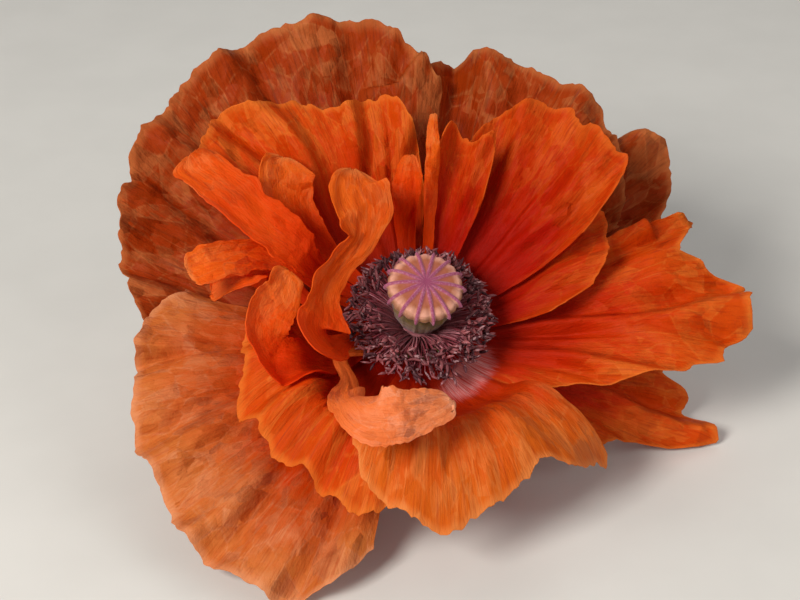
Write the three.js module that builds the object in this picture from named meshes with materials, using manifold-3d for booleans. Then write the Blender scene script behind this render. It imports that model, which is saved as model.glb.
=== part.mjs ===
// A picked oriental poppy, lying on a table: a semi-double bloom about 152 mm across on a short bent stem.
// Millimetres, +Z up. The bloom faces forwards (-Y) and up. The flower rests on the tips of its two lowest
// petals and on its stem.
//
// The bloom is laid out in its own frame, with the origin at the middle of the receptacle (the swollen top of
// the stem) and +Z out along the bloom's axis. A place in it is a distance from that middle, an azimuth round
// the axis, and a lean away from the axis: 0 degrees stands upright, 90 lies flat, over 90 droops.

import * as THREE from "three";
import Module from "manifold-3d";
import { mergeVertices } from "three/addons/utils/BufferGeometryUtils.js";

const wasm = await Module();
wasm.setup();

// ---------------------------------------------------------------- driving dimensions

const DEG = Math.PI / 180;

// How the bloom lies: its middle above the table, and its axis tipped forwards and a little to the right.
const FLOWER_CENTRE = [-4, -31.3, 36.65];
const TIP_FORWARD = 30 * DEG;
const TIP_RIGHT = 5 * DEG;

// Petals.
const RECEPTACLE_RADIUS = 7;
const SEAT_GAP = 0.3; // between separate pieces that touch
const ROOT = RECEPTACLE_RADIUS + SEAT_GAP; // distance at which every petal starts
const PETAL_THICKNESS = 0.7;
const LAYER_AT_ROOT = 1.3; // distance between one petal and the next that lies on it, at the root
const LAYER_AT_RIM = 2.5; // and well out towards the rim
const LAYERED_BY = 25; // from the root to where the layers have that distance
const ROUNDING = 3; // degrees of lean over which a petal bends on to the one behind
// degrees a petal may drop where it is clear of the one behind: at the root, and at the rim
const FREE_DROP = [15, 60];
const CLEAR_ASIDE = { from: 5, over: 12 }; // it is clear this many degrees beside the one behind
const CLEAR_BEYOND = { from: 4, over: 10 }; // or this many mm beyond its rim
const CLAW = 0.85; // a petal's share of its angular width at the root
const CLAW_LENGTH = 0.45; // share of a petal's length by which it has its full width
const FOLD_GROWTH = 1.4; // power with which folds deepen towards the rim
// how folds wander sideways: by radians of a fold, over mm of the petal, shifted by its phase and across it
const FOLD_WANDER = { by: 0.9, over: 9, phases: 3, across: 1.5 };
const SECOND_FOLDS = { share: 0.45, count: 1.7, phase: 1.9 }; // smaller folds between the others

// Broad petals, from the back of the bloom to the front. Each lies on those before it.
//   azimuth, halfWidth: where it points and how wide it fans, in degrees
//   length: of its middle, in mm; rim: share of that length from one side of the fan to the other
//   lean: degrees from the axis, from root to rim; tilt and cup: extra lean of its second side, and of both
//   pleats: folds across the fan; depth: of a fold at the rim, in mm; phase: where the folds start
//   cells: faces across the fan and along it
const BROAD_PETALS = [
  { name: "petal_back_lobe", colour: "outer", azimuth: 34, halfWidth: 16, length: 79,
    rim: [0.75, 0.88, 0.88, 0.99, 1.04, 1.02, 0.86],
    lean: [106, 98, 92, 88], tilt: 0, cup: 3,
    pleats: 2, depth: 3, phase: 1, cells: [8, 8] },
  { name: "petal_back_right", colour: "outer", azimuth: 63, halfWidth: 32, length: 71,
    rim: [0.82, 0.96, 1.07, 1.1, 1.1, 1.07, 0.86],
    lean: [106, 97, 90, 83], tilt: 0, cup: 2,
    pleats: 4, depth: 2.2, phase: 0.4, cells: [17, 8] },
  { name: "petal_back_left", colour: "outer", azimuth: 133, halfWidth: 48, length: 84,
    rim: [0.8, 0.96, 1.02, 1.03, 1.01, 0.98, 0.93, 0.86, 0.77],
    lean: [106, 98, 90, 82], tilt: 3, cup: 2,
    pleats: 6, depth: 2.7, phase: 0, cells: [25, 8] },
  { name: "petal_low_right", colour: "middle", azimuth: -13, halfWidth: 21, length: 78,
    rim: [0.58, 0.66, 0.69, 0.79, 1.05, 0.985, 0.905, 0.8],
    lean: [108, 109, 110, 109.6], tilt: 0, cup: 0,
    pleats: 3.5, depth: 2.6, phase: 2, cells: [14, 8] },
  { name: "petal_low_left", colour: "outer", azimuth: 216, halfWidth: 45, length: 75,
    rim: [0.74, 0.86, 0.895, 0.945, 0.945, 0.98, 0.973, 0.935, 0.72],
    lean: [104, 96, 91, 93], tilt: 0, cup: 0,
    pleats: 6, depth: 2.6, phase: 1.3, cells: [24, 8] },
  { name: "petal_right", colour: "middle", azimuth: -6, halfWidth: 34, length: 78,
    rim: [0.3, 0.33, 0.36, 0.41, 0.47, 0.55, 0.66, 0.77, 0.875, 0.95, 1.025, 1.015, 1.02, 0.92, 0.87,
          0.935, 0.9],
    lean: [96, 86, 82, 85], tilt: 0, cup: 0,
    pleats: 5, depth: 3.6, phase: 0.5, cells: [24, 8] },
  { name: "petal_mid_left", colour: "middle", azimuth: 226, halfWidth: 43, length: 56,
    rim: [0.77, 0.795, 0.85, 0.9, 0.903, 0.912, 0.927, 0.95, 0.74],
    lean: [94, 80, 62, 84], tilt: 0, cup: 4,
    pleats: 5, depth: 2.8, phase: 0.2, cells: [20, 8] },
  { name: "petal_front", colour: "middle", azimuth: -74, halfWidth: 42, length: 59,
    rim: [0.7, 0.85, 0.905, 0.95, 0.895, 0.86, 0.825, 0.88, 0.9],
    lean: [94, 88, 62, 66, 84], tilt: 7, cup: -10,
    pleats: 2.6, depth: 1.8, phase: 1, cells: [19, 8] },
  { name: "petal_mid_right", colour: "inner", azimuth: 23, halfWidth: 18, length: 54,
    rim: [0.6, 0.78, 0.92, 0.96, 0.98, 0.8],
    lean: [88, 80, 72, 74], tilt: 0, cup: 3,
    pleats: 2, depth: 2.2, phase: 0.2, cells: [9, 7] },
  { name: "petal_mid_upper_left", colour: "middle", azimuth: 120, halfWidth: 33, length: 66,
    rim: [0.5, 0.84, 0.86, 0.88, 0.95, 1.03, 1.05, 1.02],
    lean: [92, 80, 66, 68], tilt: 0, cup: 4,
    pleats: 4, depth: 2.8, phase: 0.6, cells: [17, 8] },
  { name: "petal_inner_right", colour: "inner", azimuth: 50, halfWidth: 26, length: 63,
    rim: [0.75, 1, 1.03, 1.02, 1, 0.92, 0.75],
    lean: [86, 78, 66, 60], tilt: 0, cup: 5,
    pleats: 3, depth: 2.2, phase: 0.9, cells: [14, 8] },
  { name: "petal_inner_top", colour: "inner", azimuth: 75, halfWidth: 13, length: 52,
    rim: [0.7, 0.99, 0.93, 0.92, 1, 0.75],
    lean: [80, 70, 58, 52], tilt: 0, cup: 6,
    pleats: 1.5, depth: 1.6, phase: 0.3, cells: [9, 7] },
];

// Petaloids: narrow inner petals, each along a spine from the receptacle. A station of the spine is
//   distance, azimuth, lean, half its width in mm, and the curl of its sides in degrees
// and roll, where it is given, turns each station's width about the spine, in degrees
const PETALOIDS = [
  { name: "petaloid_tongue", across: 4, stations: [
    [7.3, 144, 62, 1.1, -20], [20, 147, 66, 1.8, -30], [30, 148.5, 63, 3.4, -35],
    [38.4, 148, 62, 5.2, -35], [45.5, 145.7, 60, 6.8, -35], [49.6, 142, 59, 7.2, -30],
    [52.5, 137, 60, 5.2, -20] ] },
  { name: "petaloid_finger_long", across: 4, stations: [
    [7.3, 170, 61, 1, -20], [20, 168.5, 66, 1.4, -30], [32.9, 166.7, 62, 2.6, -35],
    [42, 168, 60, 3.6, -35], [49.1, 173.7, 60, 4.4, -35], [55.5, 178.3, 61, 4.4, -30],
    [60, 180.9, 63, 3.8, -20] ] },
  { name: "petaloid_finger_short", across: 4, stations: [
    [7.3, 183.5, 66, 1, 20], [20, 179, 72.5, 1.3, 30], [31, 168, 74, 2.4, 30], [37.5, 167, 74, 3, 30],
    [42.5, 172, 74, 3.8, 30], [47.4, 176.8, 74, 4.2, 30], [50.5, 178.5, 75, 3.6, 30] ] },
  { name: "petaloid_curtain", across: 4, stations: [
    [7.3, 203, 73, 1.1, -20], [20, 212, 77, 1.8, -20], [37, 213.5, 67, 5, -15],
    [44.1, 210.5, 61, 5.8, -20], [46.7, 204.4, 57, 5.8, -25], [45.6, 196.8, 54, 5.6, -25],
    [41.6, 188.5, 52, 5, -25], [40.4, 178, 49.5, 4, -20] ] },
  { name: "petaloid_folded", across: 4, stations: [
    [7.3, 158, 53, 1.1, -20], [20, 161, 63, 1.8, -30], [33.5, 167.5, 53, 4.5, -30],
    [40, 165.5, 51.5, 6.2, -30], [48.4, 162.6, 54, 6.4, -25], [59.7, 157.6, 58.5, 6.6, -20],
    [69, 154.6, 64.5, 5, -15] ] },
  { name: "petaloid_curled", across: 5, stations: [
    [7.3, 192, 60, 1.1, -20], [18, 201, 64, 1.8, -20], [24, 208, 59, 2.4, -20],
    [30.8, 214, 52, 4.6, -15], [36, 209.5, 48, 7.6, -15], [35.5, 201.4, 45, 7, -20],
    [34.3, 189.1, 42, 5, -25], [31, 166.8, 40, 4.2, -30], [31.2, 145.2, 36, 5, -30],
    [36.5, 134.5, 36, 7.4, -25], [42, 132, 38, 7.2, -20], [45.5, 127, 40, 4.8, -15] ] },
  { name: "petaloid_wing", across: 6, roll: [0, 0, 0, 25, 50, 60, 60, 50], stations: [
    [7.3, 223, 67, 1.1, 20], [21, 209, 67.5, 1.7, 20], [29, 231, 61, 2.4, 20], [47, 242, 49.5, 4.6, 15],
    [54, 250.5, 47.5, 6.2, 12], [53.5, 259, 46.5, 6.2, 10], [49, 268.4, 46.3, 5, 10],
    [43.5, 280, 46.5, 2.6, 10] ] },
  { name: "petaloid_spike", across: 4, stations: [
    [7.3, 80, 56, 0.9, 20], [22, 84, 69, 1.4, 30], [34, 87, 53, 1.8, 50], [43, 88, 50, 2, 60],
    [53, 89, 47, 0.9, 40] ] },
  { name: "petaloid_crumpled", across: 4, stations: [
    [7.3, 101, 58, 1.1, 20], [22, 99, 69, 2.2, 40], [31, 99, 53, 3.4, 60], [37, 98, 51, 3.8, 60],
    [43, 97, 50, 1.6, 40] ] },
];
const PETALOID_ROWS = 2; // between one station and the next

// Pistil: heights are from the receptacle's middle.
const RAYS = 14;
const RAY_RISE = 0.7; // of a stigma ray above the disc
const PISTIL_STEPS = RAYS * 4;
// radius, height, depth of the scallops between the rays, share of the ray's rise
const PISTIL_PROFILE = [
  [2.6, 7.35, 0, 0], [4.6, 9.6, 0.1, 0], [6.4, 13, 0.25, 0], [7.3, 17, 0.35, 0], [7.5, 20.5, 0.5, 0],
  [8.0, 21.7, 0.8, 0], [9.2, 21.9, 1.5, 0], [9.5, 22.7, 1.3, 0.5], [8.3, 24.0, 0.6, 1], [5.2, 25.2, 0.15, 1],
  [2.2, 25.8, 0, 0.6],
];
const PISTIL_TOP = 26.1;

// Stamens.
const STAMENS = 80;
const STAMEN_SIDES = 3;
const STAMEN_FOOT = 0.3; // the point at a stamen's foot, within the ring it grows from
const GOLDEN_ANGLE = Math.PI * (3 - Math.sqrt(5));
const FILAMENT_RADIUS = 0.42;
const FILAMENT_TAPER = [1.2, 1, 0.8]; // shares of that radius at the root, halfway and at the top
const ANTHER = { length: 3.6, radius: 0.8, widest: 0.4 };
const COLLAR = { inner: 3.6, outer: 5.3, thick: 1, arch: 0.05, sides: 24 };
// from the innermost stamens to the outermost, with how much each may differ from its neighbours
const STAMEN_ROOT = { radius: [4.1, 4.9], height: 6.3 };
const STAMEN_REACH = { from: 10.5, to: 15.6, varied: 1.4 };
const STAMEN_HEIGHT = { from: 14.5, to: 8.6, varied: 1.6 };
// where a filament arches, as shares of its reach and of its height
const STAMEN_ELBOW = { out: 0.62, up: [0.75, 1] };
const STAMEN_ASIDE = { elbow: 1, top: 2, anther: 0.6, up: 0.5 };

// Stem: its line in the table's frame after the straight neck, and its radius.
const NECK = 12; // straight part below the receptacle's middle
const STEM_RADIUS = 2.9;
const STEM_SIDES = 12;
const STEM_STEPS = 16;
const STEM_END = [12, 86.7]; // where its cut end lies on the table
const STEM_PULLS = { neck: 26, end: [-12, -70] }; // how strongly the bend follows the neck and the table
// distance from the receptacle's top and radius there
const RECEPTACLE_PROFILE = [
  [0.7, 3.05], [2, 4.9], [4.2, 6.41], [7, 7], [9.8, 6.41], [12, 4.9], [15, 3.5], [19, 3],
];

const ROUGHNESS = { petals: 0.6, pistil: 0.6, stamens: 0.7, stem: 0.7 };
const COLOURS = {
  outer: "#cf6529",
  middle: "#e35a18",
  inner: "#cc2f0d",
  petaloid: "#ec6f1d",
  pistil: "#c98f86",
  stamens: "#4a2436",
  stem: "#5d7a3c",
};

// ---------------------------------------------------------------- small helpers

// A smooth curve through evenly spaced values, read at x from 0 to 1.
function curveThrough(values, x) {
  const last = values.length - 1;
  const place = THREE.MathUtils.clamp(x, 0, 1) * last;
  const i = Math.min(Math.floor(place), last - 1);
  const t = place - i;
  const [b, c] = [values[i], values[i + 1]];
  const a = values[i - 1] ?? 2 * b - c;
  const d = values[i + 2] ?? 2 * c - b;
  return b + 0.5 * t * (c - a + t * (2 * a - 5 * b + 4 * c - d + t * (3 * (b - c) + d - a)));
}

const ease = (x) => THREE.MathUtils.smoothstep(x, 0, 1);

// A point of the bloom's frame from its distance, azimuth and lean (degrees).
function spot(distance, azimuth, lean) {
  return new THREE.Vector3()
    .setFromSphericalCoords(distance, lean * DEG, (azimuth + 90) * DEG)
    .applyMatrix4(Y_TO_Z);
}
// setFromSphericalCoords has its pole on +Y; this turns it to +Z.
const Y_TO_Z = new THREE.Matrix4().makeRotationX(Math.PI / 2);

// A closed blade around a grid of points, which is grid[row][column]: half the thickness on each side, both
// faces split alike.
function blade(grid, thickness) {
  const rows = grid.length;
  const columns = grid[0].length;
  const at = (i, j) => grid[THREE.MathUtils.clamp(i, 0, rows - 1)][THREE.MathUtils.clamp(j, 0, columns - 1)];
  const positions = [];
  for (const side of [1, -1])
    for (let i = 0; i < rows; i++)
      for (let j = 0; j < columns; j++) {
        const along = at(i + 1, j).clone().sub(at(i - 1, j));
        const across = at(i, j + 1).clone().sub(at(i, j - 1));
        const normal = across.cross(along).normalize();
        positions.push(...at(i, j).clone().addScaledVector(normal, -side * thickness / 2));
      }
  const index = [];
  const front = (i, j) => i * columns + j;
  const back = (i, j) => rows * columns + front(i, j);
  const quad = (a, b, c, d) => index.push(a, b, c, a, c, d);
  for (let i = 0; i + 1 < rows; i++)
    for (let j = 0; j + 1 < columns; j++) {
      quad(front(i, j), front(i + 1, j), front(i + 1, j + 1), front(i, j + 1));
      const [a, b, c, d] = [back(i, j), back(i + 1, j), back(i + 1, j + 1), back(i, j + 1)];
      index.push(a, c, b, a, d, c);
    }
  for (let i = 0; i + 1 < rows; i++) {
    quad(front(i, 0), back(i, 0), back(i + 1, 0), front(i + 1, 0));
    quad(front(i + 1, columns - 1), back(i + 1, columns - 1), back(i, columns - 1), front(i, columns - 1));
  }
  for (let j = 0; j + 1 < columns; j++) {
    quad(front(0, j + 1), back(0, j + 1), back(0, j), front(0, j));
    quad(front(rows - 1, j), back(rows - 1, j), back(rows - 1, j + 1), front(rows - 1, j + 1));
  }
  const geometry = new THREE.BufferGeometry();
  geometry.setAttribute("position", new THREE.Float32BufferAttribute(positions, 3));
  geometry.setIndex(index);
  return geometry;
}

function mesh(name, geometry, color, roughness) {
  const made = new THREE.Mesh(geometry, new THREE.MeshStandardMaterial({ color, roughness, metalness: 0 }));
  made.name = name;
  return made;
}

// ---------------------------------------------------------------- broad petals

// Degrees from a petal's middle line, from -180 to 180.
const offMiddle = (petal, azimuth) => ((((azimuth - petal.azimuth + 180) % 360) + 360) % 360) - 180;

const rimAt = (petal, q) => petal.length * curveThrough(petal.rim, (q + 1) / 2);

// The lean that a petal would have if it lay on nothing.
function freeLean(petal, distance, azimuth) {
  const u = THREE.MathUtils.clamp((distance - ROOT) / (petal.length - ROOT), 0, 1.1);
  const q = THREE.MathUtils.clamp(offMiddle(petal, azimuth) / petal.halfWidth, -1.25, 1.25);
  const { by, over, phases, across } = FOLD_WANDER;
  const wander = by * Math.sin(distance / over + phases * petal.phase + across * q);
  const turn = petal.pleats * Math.PI * q + petal.phase + wander;
  const second = SECOND_FOLDS.share * Math.sin(SECOND_FOLDS.count * turn + SECOND_FOLDS.phase);
  const fold = petal.depth * u ** FOLD_GROWTH * (Math.sin(turn) + second);
  return curveThrough(petal.lean, u) + u * (petal.tilt * q - petal.cup * q * q) + fold / distance / DEG;
}

// How far a place is outside a petal's outline: 0 over it, 1 or more clear of it.
function clearOf(petal, distance, azimuth) {
  const aside = Math.abs(offMiddle(petal, azimuth)) - petal.halfWidth - CLEAR_ASIDE.from;
  const q = THREE.MathUtils.clamp(offMiddle(petal, azimuth) / petal.halfWidth, -1, 1);
  const beyond = distance - rimAt(petal, q) - CLEAR_BEYOND.from;
  return Math.max(0, aside / CLEAR_ASIDE.over, beyond / CLEAR_BEYOND.over);
}

// The lesser of two leans, rounded off where they meet.
function lesser(a, b) {
  const near = Math.max(0, 1 - Math.abs(a - b) / ROUNDING);
  return Math.min(a, b) - (ROUNDING * near * near) / 4;
}

// The lean of a piece that lies on settled petals, where it would otherwise have a lean of its own.
function lyingOn(settled, distance, azimuth, lean) {
  const share = ease((distance - ROOT) / LAYERED_BY);
  const step = THREE.MathUtils.lerp(LAYER_AT_ROOT, LAYER_AT_RIM, share) / distance / DEG;
  const freed = THREE.MathUtils.lerp(...FREE_DROP, share);
  return settled.reduce((least, behind, i) => {
    const clear = clearOf(BROAD_PETALS[i], distance, azimuth);
    return clear < 1 ? lesser(least, behind - step + freed * ease(clear)) : least;
  }, lean);
}

// The leans of the first `count` broad petals, each lying on those before it.
function settle(count, distance, azimuth) {
  const settled = [];
  for (const petal of BROAD_PETALS.slice(0, count))
    settled.push(lyingOn(settled, distance, azimuth, freeLean(petal, distance, azimuth)));
  return settled;
}

function broadPetal(petal, order) {
  const [across, along] = petal.cells;
  const grid = [];
  for (let i = 0; i <= along; i++) {
    const s = i / along;
    const row = [];
    for (let j = 0; j <= across; j++) {
      const q = (2 * j) / across - 1;
      const distance = ROOT + s * (rimAt(petal, q) - ROOT);
      const widened = THREE.MathUtils.lerp(CLAW, 1, ease(s / CLAW_LENGTH));
      const azimuth = petal.azimuth + petal.halfWidth * q * widened;
      row.push(spot(distance, azimuth, settle(order + 1, distance, azimuth)[order]));
    }
    grid.push(row);
  }
  return mesh(petal.name, blade(grid, PETAL_THICKNESS), COLOURS[petal.colour], ROUGHNESS.petals);
}

// ---------------------------------------------------------------- petaloids

// A petaloid's spine, with its values eased between stations.
function stationAt(petaloid, s) {
  return petaloid.stations[0].map((_, k) => curveThrough(petaloid.stations.map((station) => station[k]), s));
}

// A point of a petaloid, moved in front of the broad petals where it would sink into them.
function laidOnPetals(point) {
  const distance = point.length();
  const azimuth = Math.atan2(point.y, point.x) / DEG;
  const lean = Math.acos(point.z / distance) / DEG;
  const settled = settle(BROAD_PETALS.length, distance, azimuth);
  return spot(distance, azimuth, lyingOn(settled, distance, azimuth, lean));
}

function petaloid(shape) {
  const rows = (shape.stations.length - 1) * PETALOID_ROWS;
  const { across } = shape;
  const spineSpot = (s) => spot(...stationAt(shape, s).slice(0, 3));
  const grid = [];
  for (let i = 0; i <= rows; i++) {
    const s = i / rows;
    const [distance, azimuth, lean, halfWidth, curl] = stationAt(shape, s);
    const along = spineSpot(Math.min(1, s + 0.01)).sub(spineSpot(Math.max(0, s - 0.01))).normalize();
    const outward = spot(distance, azimuth, lean + 1).sub(spot(distance, azimuth, lean - 1)).normalize();
    const side = along.clone().cross(outward).normalize();
    if (shape.roll) side.applyAxisAngle(along, curveThrough(shape.roll, s) * DEG);
    const front = side.clone().cross(along);
    const row = [];
    for (let j = 0; j <= across; j++) {
      const bend = curl * DEG * ((2 * j) / across - 1);
      const radius = halfWidth / (curl * DEG);
      row.push(
        laidOnPetals(
          spineSpot(s)
            .addScaledVector(side, radius * Math.sin(bend))
            .addScaledVector(front, radius * (1 - Math.cos(bend))),
        ),
      );
    }
    grid.push(row);
  }
  return mesh(shape.name, blade(grid, PETAL_THICKNESS), COLOURS.petaloid, ROUGHNESS.petals);
}

// ---------------------------------------------------------------- solids and unions

function solidOf(geometry) {
  const bare = geometry.clone();
  bare.deleteAttribute("normal");
  bare.deleteAttribute("uv");
  const merged = mergeVertices(bare, 1e-4);
  return new wasm.Manifold(
    new wasm.Mesh({
      numProp: 3,
      vertProperties: merged.attributes.position.array,
      triVerts: new Uint32Array(merged.index.array),
    }),
  );
}

function geometryOf(solid) {
  const { vertProperties, triVerts } = solid.getMesh();
  const geometry = new THREE.BufferGeometry();
  geometry.setAttribute("position", new THREE.Float32BufferAttribute(vertProperties, 3));
  geometry.setIndex([...triVerts]);
  return geometry;
}

// A closed skin over rings of points, with a point at each end.
function skin(rings, first, last) {
  const n = rings[0].length;
  const points = [first, ...rings.flat(), last];
  const index = [];
  const at = (ring, k) => 1 + ring * n + (k % n);
  const end = points.length - 1;
  for (let k = 0; k < n; k++) {
    index.push(0, at(0, k + 1), at(0, k));
    index.push(end, at(rings.length - 1, k), at(rings.length - 1, k + 1));
    for (let ring = 0; ring + 1 < rings.length; ring++) {
      const [a, b, c, d] = [at(ring, k), at(ring, k + 1), at(ring + 1, k + 1), at(ring + 1, k)];
      index.push(a, b, c, a, c, d);
    }
  }
  const geometry = new THREE.BufferGeometry();
  geometry.setAttribute("position", new THREE.Float32BufferAttribute(points.flatMap((p) => p.toArray()), 3));
  geometry.setIndex(index);
  return geometry;
}

// A round skin along a line of points, with a radius for each; the first ring stands across `start`.
function sweep(line, radii, sides, start, end = line.at(-1)) {
  let across = new THREE.Vector3(1, 0, 0);
  const rings = line.map((centre, i) => {
    const along = (line[i + 1] ?? centre).clone().sub(line[i - 1] ?? start).normalize();
    across = across.clone().addScaledVector(along, -across.dot(along)).normalize();
    const other = along.clone().cross(across);
    return Array.from({ length: sides }, (_, k) => {
      const turn = (2 * Math.PI * k) / sides;
      return centre
        .clone()
        .addScaledVector(across, radii[i] * Math.cos(turn))
        .addScaledVector(other, radii[i] * Math.sin(turn));
    });
  });
  return skin(rings, start, end);
}

// ---------------------------------------------------------------- pistil

function pistil() {
  const rings = PISTIL_PROFILE.map(([radius, height, scallop, rise]) =>
    Array.from({ length: PISTIL_STEPS }, (_, k) => {
      const turn = (2 * Math.PI * k) / PISTIL_STEPS;
      const ray = 0.5 + 0.5 * Math.cos(RAYS * turn); // 1 on a ray, 0 between two
      const reach = radius - scallop * (1 - ray);
      const top = height + RAY_RISE * rise * ray ** 2;
      return new THREE.Vector3(reach * Math.cos(turn), reach * Math.sin(turn), top);
    }),
  );
  const foot = new THREE.Vector3(0, 0, PISTIL_PROFILE[0][1]);
  const tip = new THREE.Vector3(0, 0, PISTIL_TOP);
  return mesh("pistil", skin(rings, foot, tip), COLOURS.pistil, ROUGHNESS.pistil);
}

// ---------------------------------------------------------------- stamens

// Numbers from 0 to 1 that are the same on every run.
function seeded(seed) {
  let state = seed;
  return () => {
    state = (state * 16807) % 2147483647;
    return state / 2147483647;
  };
}

// The ring that the stamens grow from, which lies on the receptacle round the foot of the pistil.
function collar() {
  const at = (radius, above) => new THREE.Vector2(radius, Math.sqrt((ROOT + above) ** 2 - radius ** 2));
  const { inner, outer, thick } = COLLAR;
  const middle = (inner + outer) / 2;
  const foot = [at(inner, 0), at(middle, COLLAR.arch), at(outer, 0)];
  const top = [at(outer, thick), at(middle, thick), at(inner, thick)];
  return new THREE.LatheGeometry([...foot, ...top, at(inner, 0)], COLLAR.sides).rotateX(Math.PI / 2);
}

// One stamen: a three-sided filament that rises and arches outwards, and widens to a pointed anther.
function stamen(turn, share, random) {
  const inPlane = (radius, height, aside = 0) =>
    new THREE.Vector3(radius, aside, height).applyAxisAngle(new THREE.Vector3(0, 0, 1), turn);
  const between = ({ from, to, varied }) => THREE.MathUtils.lerp(from, to, share) + random() * varied;
  const aside = (amount) => amount * (random() - 0.5);
  const reach = between(STAMEN_REACH);
  const height = between(STAMEN_HEIGHT);
  const root = inPlane(THREE.MathUtils.lerp(...STAMEN_ROOT.radius, share), STAMEN_ROOT.height);
  const elbowHeight = height * THREE.MathUtils.lerp(...STAMEN_ELBOW.up, share);
  const elbow = inPlane(reach * STAMEN_ELBOW.out, elbowHeight, aside(STAMEN_ASIDE.elbow));
  const top = inPlane(reach, height, aside(STAMEN_ASIDE.top));
  const arc = new THREE.QuadraticBezierCurve3(root, elbow, top);
  const turned = inPlane(0, STAMEN_ASIDE.up * random(), aside(STAMEN_ASIDE.anther));
  const along = arc.getTangent(1).add(turned).normalize();
  const waist = top.clone().addScaledVector(along, ANTHER.length * ANTHER.widest);
  const tip = top.clone().addScaledVector(along, ANTHER.length);
  const line = [root, arc.getPoint(0.5), top, waist];
  const radii = [...FILAMENT_TAPER.map((share) => share * FILAMENT_RADIUS), ANTHER.radius];
  return solidOf(sweep(line, radii, STAMEN_SIDES, root.clone().add(inPlane(0, -STAMEN_FOOT)), tip));
}

function stamens() {
  const random = seeded(7);
  let all = solidOf(collar());
  for (let k = 0; k < STAMENS; k++) {
    const share = (k + 0.5) / STAMENS;
    all = all.add(stamen(k * GOLDEN_ANGLE, share, random));
  }
  return mesh("stamens", geometryOf(all), COLOURS.stamens, ROUGHNESS.stamens);
}

// ---------------------------------------------------------------- stem

function stem(axis) {
  const centre = new THREE.Vector3(...FLOWER_CENTRE);
  const below = (distance) => centre.clone().addScaledVector(axis, -distance);
  const end = new THREE.Vector3(...STEM_END, STEM_RADIUS);
  const bend = new THREE.CubicBezierCurve3(
    below(NECK),
    below(NECK + STEM_PULLS.neck),
    end.clone().add(new THREE.Vector3(...STEM_PULLS.end, 0)),
    end,
  );
  const line = RECEPTACLE_PROFILE.map(([distance]) => below(distance - RECEPTACLE_RADIUS));
  const radii = RECEPTACLE_PROFILE.map(([, radius]) => radius);
  for (let i = 1; i <= STEM_STEPS; i++) {
    line.push(bend.getPointAt(i / STEM_STEPS));
    radii.push(STEM_RADIUS);
  }
  const geometry = sweep(line, radii, STEM_SIDES, below(-RECEPTACLE_RADIUS));
  return mesh("stem", geometry, COLOURS.stem, ROUGHNESS.stem);
}

// ---------------------------------------------------------------- the whole flower

const bloom = new THREE.Group();
BROAD_PETALS.forEach((petal, order) => bloom.add(broadPetal(petal, order)));
PETALOIDS.forEach((shape) => bloom.add(petaloid(shape)));
bloom.add(pistil(), stamens());
bloom.rotation.set(TIP_FORWARD, TIP_RIGHT, 0);
bloom.position.set(...FLOWER_CENTRE);
bloom.updateMatrixWorld();

const axis = new THREE.Vector3(0, 0, 1).applyQuaternion(bloom.quaternion);
const flower = new THREE.Group();
flower.add(bloom, stem(axis));

export default flower;
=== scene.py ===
# %% [markdown]
# # A picked oriental poppy, dressed for the render
#
# The flower was first built as plain solids, and they are loaded here as a fixed frame. This lesson
# replaces each of them with a finer piece that keeps its form: petals as thin as tissue with creases
# and veins, a ring of stamens, a rayed seed capsule and a bristly stem. All lengths are in millimetres
# until a mesh is made, because a flower is easier to think about in them than in Blender's metres.

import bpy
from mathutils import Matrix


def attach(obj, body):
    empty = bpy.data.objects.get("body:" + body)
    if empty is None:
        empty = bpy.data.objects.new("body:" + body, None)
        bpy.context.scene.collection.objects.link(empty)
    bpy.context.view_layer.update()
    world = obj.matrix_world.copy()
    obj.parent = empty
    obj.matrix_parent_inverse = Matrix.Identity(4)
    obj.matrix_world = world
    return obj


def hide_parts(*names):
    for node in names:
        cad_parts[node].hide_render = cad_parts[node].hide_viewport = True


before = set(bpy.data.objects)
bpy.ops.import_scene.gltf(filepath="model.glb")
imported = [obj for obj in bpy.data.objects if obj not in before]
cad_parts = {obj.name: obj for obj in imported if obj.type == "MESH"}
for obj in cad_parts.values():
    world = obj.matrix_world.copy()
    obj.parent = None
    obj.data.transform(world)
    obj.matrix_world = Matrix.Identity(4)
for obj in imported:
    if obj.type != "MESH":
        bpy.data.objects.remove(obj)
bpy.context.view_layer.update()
print("solids loaded:", len(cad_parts))

# %% The libraries used below
import math

import bpy
import numpy as np
from mathutils import Vector

MM = 0.001  # metres in a millimetre

# %% [markdown]
# ## The bloom's own frame
#
# A bloom is easiest to describe round its own axis. A place on it is a distance from the middle of the
# receptacle (the swollen top of the stem), an azimuth round the axis, and a lean away from the axis:
# 0 degrees stands upright, 90 lies flat and more than 90 droops. Typing table positions for every petal
# would hide that order, so one small function turns such a place into a point, and another lays the
# whole bloom on the table.

# %% Places on the bloom
FLOWER_CENTRE = np.array([-4.0, -31.3, 36.65])  # the receptacle's middle above the table
TIP_FORWARD = math.radians(30)
TIP_RIGHT = math.radians(5)


def turn_about(axis, angle):
    """A rotation matrix about axis 0 (X), 1 (Y) or 2 (Z)."""
    matrix = np.eye(3)
    b, c = (axis + 1) % 3, (axis + 2) % 3
    matrix[b, b] = matrix[c, c] = math.cos(angle)
    matrix[c, b] = math.sin(angle)
    matrix[b, c] = -math.sin(angle)
    return matrix


BLOOM_TURN = turn_about(0, TIP_FORWARD) @ turn_about(1, TIP_RIGHT)


def spot(distance, azimuth, lean):
    """Points of the bloom's frame from distances in mm and angles in degrees."""
    azimuth, lean = np.radians(azimuth), np.radians(lean)
    flat = distance * np.sin(lean)
    return np.stack([flat * np.cos(azimuth), flat * np.sin(azimuth), distance * np.cos(lean)], -1)


def on_table(points):
    """Points of the bloom's frame, laid on the table."""
    return points @ BLOOM_TURN.T + FLOWER_CENTRE


print("the bloom's axis points to", np.round(BLOOM_TURN[:, 2], 2))

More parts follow.
